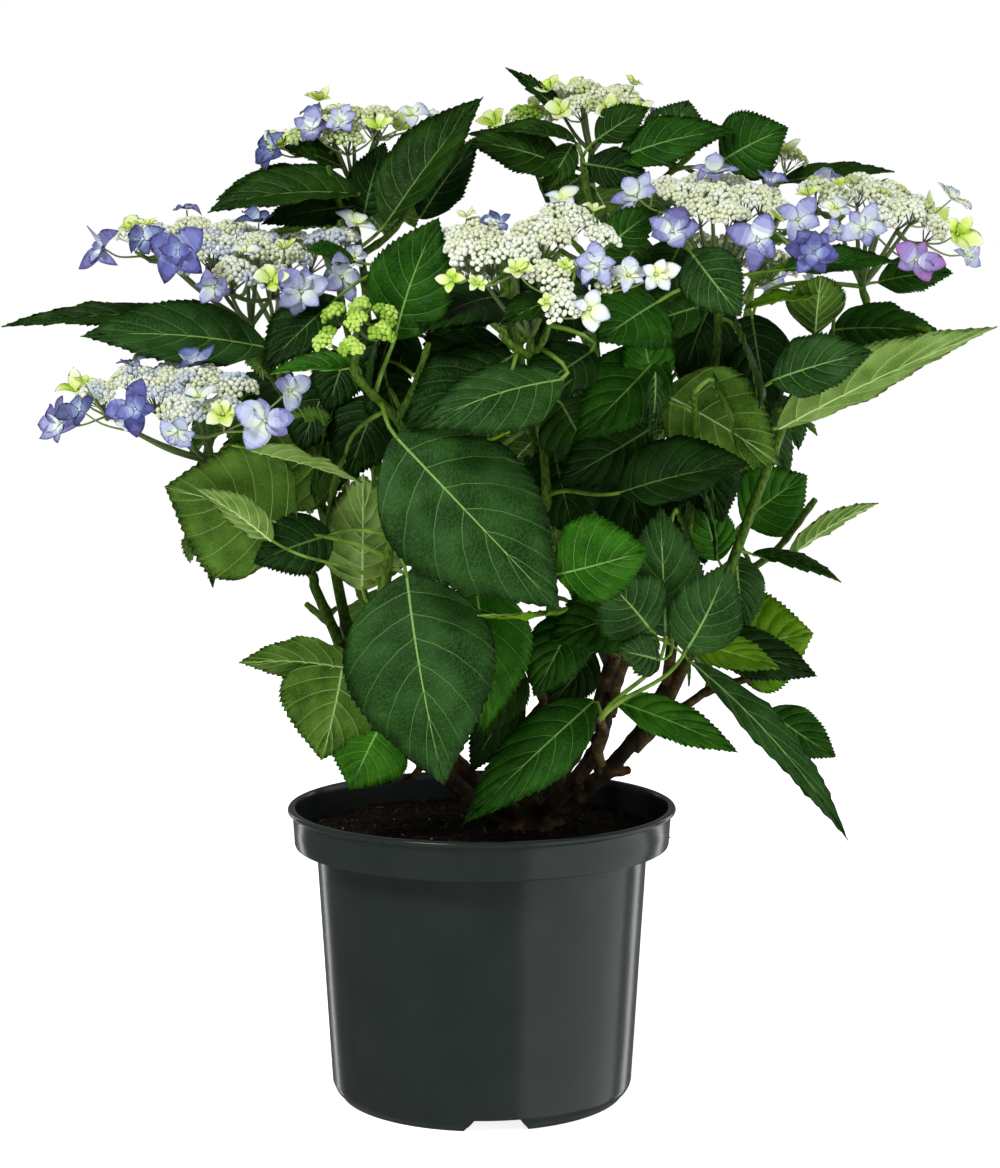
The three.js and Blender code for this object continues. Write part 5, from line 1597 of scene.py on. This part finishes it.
# Florets in millimetres from the same point, with the way each faces, its kind and sepal length.
HEAD_FLORETS = {
    "head_left_low": [
        ((-67, -34, -8), (-0.75, -0.6, 0.1), "violet", 20), ((-60, -10, 12), (-0.2, -0.3, 0.9), "lime", 13),
        ((-52, -20, 18), (0, -0.4, 0.9), "lime", 8), ((-52, -44, 1), (-0.4, -0.75, 0.3), "blue", 16),
        ((-14, -56, 2), (-0.15, -1, 0.15), "deep", 19), ((13, -58, -14), (-0.1, -0.8, -0.4), "lavender", 15),
        ((-30, 40, 29), (0, -0.2, 1), "violet", 13), ((16, 25, 29), (0, -0.35, 0.9), "blue", 17),
        ((24, -26, 9), (0, -0.6, 0.8), "pale", 12), ((42, -42, -2), (0, -0.8, 0.4), "lime", 13),
        ((70, -46, -6), (0.1, -1, 0.1), "lavender", 20), ((84, -16, 13), (0.5, -0.8, 0.3), "lavender", 17)],
    "head_left_mid": [
        ((-79, -35, 12), (-0.75, -0.6, 0.15), "violet", 22), ((-62, -8, 26), (-0.2, -0.3, 0.9), "lime", 13),
        ((-48, -36, 28), (0, -0.4, 0.9), "lime", 8), ((-50, -42, 18), (-0.4, -0.75, 0.3), "blue", 15),
        ((-24, -56, 9), (-0.15, -1, 0.15), "deep", 22), ((0, -58, -14), (-0.1, -0.8, -0.4), "lavender", 15),
        ((-30, 45, 42), (0, -0.2, 1), "violet", 13), ((24, 25, 32), (0, -0.35, 0.9), "blue", 17),
        ((19, -26, 10), (0, -0.6, 0.8), "pale", 12), ((39, -50, -10), (0, -0.8, 0.4), "lime", 13),
        ((46, -18, 12), (0, -0.5, 0.8), "lime", 8), ((60, -50, -18), (0.1, -1, 0.05), "lavender", 20),
        ((86, -22, -8), (0.45, -0.85, 0.2), "lavender", 17)],
    "head_left_small": [
        ((14, -4, 16), (0.2, -0.55, 0.85), "pale", 17), ((14, -24, -8), (0, -0.9, 0.2), "pale", 10)],
    "head_top_left": [
        ((-55, -32, -12), (-0.7, -0.7, 0.1), "blue", 18), ((-48, -30, -10), (-0.4, -0.6, 0.6), "lime", 13),
        ((-22, -10, 25), (0, -0.3, 0.95), "lime", 13), ((-26, -34, 2), (-0.1, -0.8, 0.5), "violet", 16),
        ((-28, 6, 16), (-0.1, -0.5, 0.8), "blue", 11), ((-4, -34, 8), (0, -0.85, 0.5), "lavender", 15),
        ((-6, -16, 18), (0, -0.5, 0.8), "lime", 9), ((24, -38, 4), (0, -0.8, 0.6), "lime", 13),
        ((47, -22, 14), (0.1, -0.7, 0.7), "pale", 15), ((60, -8, 14), (0.4, -0.4, 0.8), "pale", 10)],
    "head_top_centre": [
        ((-33, -14, 12), (-0.3, -0.7, 0.7), "lime", 11), ((-24, -32, -6), (-0.1, -0.9, 0.4), "lime", 13),
        ((13, -34, -6), (0, -0.95, 0.3), "lime", 14), ((31, -6, 16), (0.2, -0.4, 0.9), "lime", 9),
        ((34, -22, -4), (0.3, -0.8, 0.5), "lime", 9), ((51, -20, -16), (0.2, -0.7, 0.7), "lime", 10)],
    "head_top_small": [
        ((-25, -12, 0), (-0.3, -0.8, 0.5), "lime", 12), ((-6, -14, 2), (0, -0.8, 0.5), "lime", 8)],
    "head_centre": [
        ((20, 40, 41), (0, -0.5, 0.85), "pale", 17), ((-43, 20, 30), (-0.3, -0.3, 0.9), "lime", 9),
        ((-22, 18, 26), (0, -0.7, 0.7), "blue", 12), ((41, 20, 34), (0.2, -0.4, 0.9), "lime", 8),
        ((-52, -36, -12), (-0.3, -0.9, 0.3), "lime", 10), ((-35, -40, -14), (0, -0.9, 0.4), "lime", 8),
        ((-10, -38, -6), (0, -0.75, 0.65), "lime", 12), ((22, -30, -4), (0, -0.8, 0.6), "lime", 7),
        ((42, -34, -2), (-0.2, -0.9, 0.4), "lavender", 15), ((62, -30, -9), (0.1, -0.8, 0.5), "pale", 14),
        ((80, -26, -8), (0.1, -1, 0.05), "pale", 15), ((36, -52, -30), (0, -1, 0.1), "pale", 15),
        ((9, -48, -26), (0, -0.9, 0.3), "lime", 7)],
    "head_right_mid": [
        ((-4, 12, 28), (0, -0.35, 0.95), "lavender", 18), ((35, 12, 22), (0.2, -0.5, 0.8), "violet", 14),
        ((-36, -48, -14), (-0.15, -0.9, 0.4), "violet", 18), ((21, -52, -20), (0, -1, 0.2), "violet", 21),
        ((49, -42, -6), (0, -0.9, 0.4), "lavender", 17), ((58, -56, -28), (0, -1, 0.1), "deep", 22),
        ((-60, -34, 10), (-0.25, -0.75, 0.6), "lavender", 21), ((38, -30, -4), (0, -0.7, 0.7), "lime", 8)],
    "head_right_outer": [
        ((-48, -14, 14), (0, -0.6, 0.8), "lime", 10), ((-38, 14, 20), (-0.2, -0.3, 0.9), "violet", 10),
        ((-26, -24, 20), (0, -0.6, 0.8), "lime", 10), ((-30, -34, 4), (0, -0.8, 0.5), "pale", 11),
        ((-12, -46, -10), (-0.1, -0.95, 0.3), "lavender", 18),
        ((24, -48, -32), (0.1, -1, 0.1), "magenta", 19),
        ((54, -36, -14), (0.3, -0.9, 0.2), "lime", 17), ((62, -28, -28), (0.5, -0.8, 0), "lavender", 13),
        ((57, 4, 12), (0.5, -0.4, 0.75), "pale", 16), ((14, 34, 22), (0.1, 0.1, 1), "violet", 10),
        ((-32, -42, -12), (0, -0.9, 0), "lavender", 9)],
    "head_right_back": [((6, -16, 8), (0, -0.7, 0.7), "lime", 14)],
    "head_back_left": [
        ((-40, 40, -4), (-0.5, 0.8, 0.3), "violet", 19), ((10, 56, -10), (0.1, 1, 0.2), "lavender", 18)],
    "head_back_centre": [
        ((-50, 36, -4), (-0.5, 0.8, 0.3), "lavender", 18), ((20, 58, -12), (0.1, 1, 0.2), "violet", 20),
        ((56, 30, -4), (0.7, 0.6, 0.4), "deep", 17)],
    "head_back_right": [
        ((30, 48, -10), (0.3, 0.9, 0.2), "lavender", 18), ((-16, 54, -8), (-0.1, 1, 0.3), "pale", 15)],
}
# Lobes grown by the rule, and the tints of the buds.
HEAD_PLAN = {
    "head_left_low": (11, (0, 1, 2, 1, 0)), "head_left_mid": (11, (0, 1, 2, 1, 0)),
    "head_left_small": (3, (1, 2, 1)), "head_top_left": (7, (3, 0, 3)),
    "head_top_centre": (7, (0, 3, 0)), "head_top_small": (2, (3, 4)),
    "head_centre": (9, (0, 1, 0, 1)), "head_right_mid": (10, (0, 1, 0)),
    "head_right_outer": (9, (0, 1, 3, 1)), "head_right_back": (3, (3, 0)),
    "head_bud": (6, (5, 4, 5)), "head_back_left": (8, (0, 1, 2)),
    "head_back_centre": (8, (0, 1, 1)), "head_back_right": (7, (0, 1, 3)),
}

buds = []
floret_heap = Heap()
ray_heap = Heap()
sepal_slots = {}
sepal_materials = []
for kind, tones in SEPAL_TONES.items():
    sepal_slots[kind] = len(sepal_materials)
    for step in range(TONE_STEPS):
        at = step / (TONE_STEPS - 1) * (len(tones) - 1)
        low = min(int(at), len(tones) - 2)
        tone = blended(srgb(*tones[low]), srgb(*tones[low + 1]), at - low)
        sepal_materials.append(principled(f"sepal_{kind}_{step}", tone, 0.55, Specular_IOR_Level=0.3)[0])
for order, (name, (lobes, tints)) in enumerate(HEAD_PLAN.items()):
    seed = np.random.default_rng(FIRST_HEAD_SEED + order)
    grow_head(name, HEAD_LOBES.get(name, lobes), tints, HEAD_FLORETS.get(name, []), seed)

bud_materials = [principled(name, srgb(*tint), 0.5, Specular_IOR_Level=0.35)[0]
                 for name, tint in BUD_TINTS.items()]
ray_tints = {"ray_green": (74, 96, 40), "ray_pale": (116, 136, 76)}
ray_materials = [principled(name, srgb(*tint), 0.55)[0] for name, tint in ray_tints.items()]
ball = bud_ball()
setting = bud_tree(bud_materials)
HALVES = 2
for half_number in range(HALVES):
    rows = buds[half_number::HALVES]
    spots = new_piece("bud_spots", [row[0] for row in rows], [], [])
    for title, kind, field, column in (("way", "FLOAT_VECTOR", "vector", 1), ("size", "FLOAT", "value", 2),
                                       ("tint", "INT", "value", 3)):
        layer = spots.data.attributes.new(title, kind, "POINT")
        layer.data.foreach_set(field, np.array([row[column] for row in rows]).ravel())
    piece = grown(f"flower_buds_{half_number + 1}", spots, setting, Bud=ball)
    piece.data.shade_smooth()
    bpy.data.objects.remove(spots)
    hand_over(piece, "blossom")
bpy.data.objects.remove(ball)
florets = floret_heap.piece("florets", sepal_materials)
hand_over(florets, "blossom", *HEAD_PLAN)
rays = ray_heap.piece("flower_rays", ray_materials)
hand_over(rays, "stem")


# The box round everything drawn, the backdrop left out.

low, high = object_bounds()
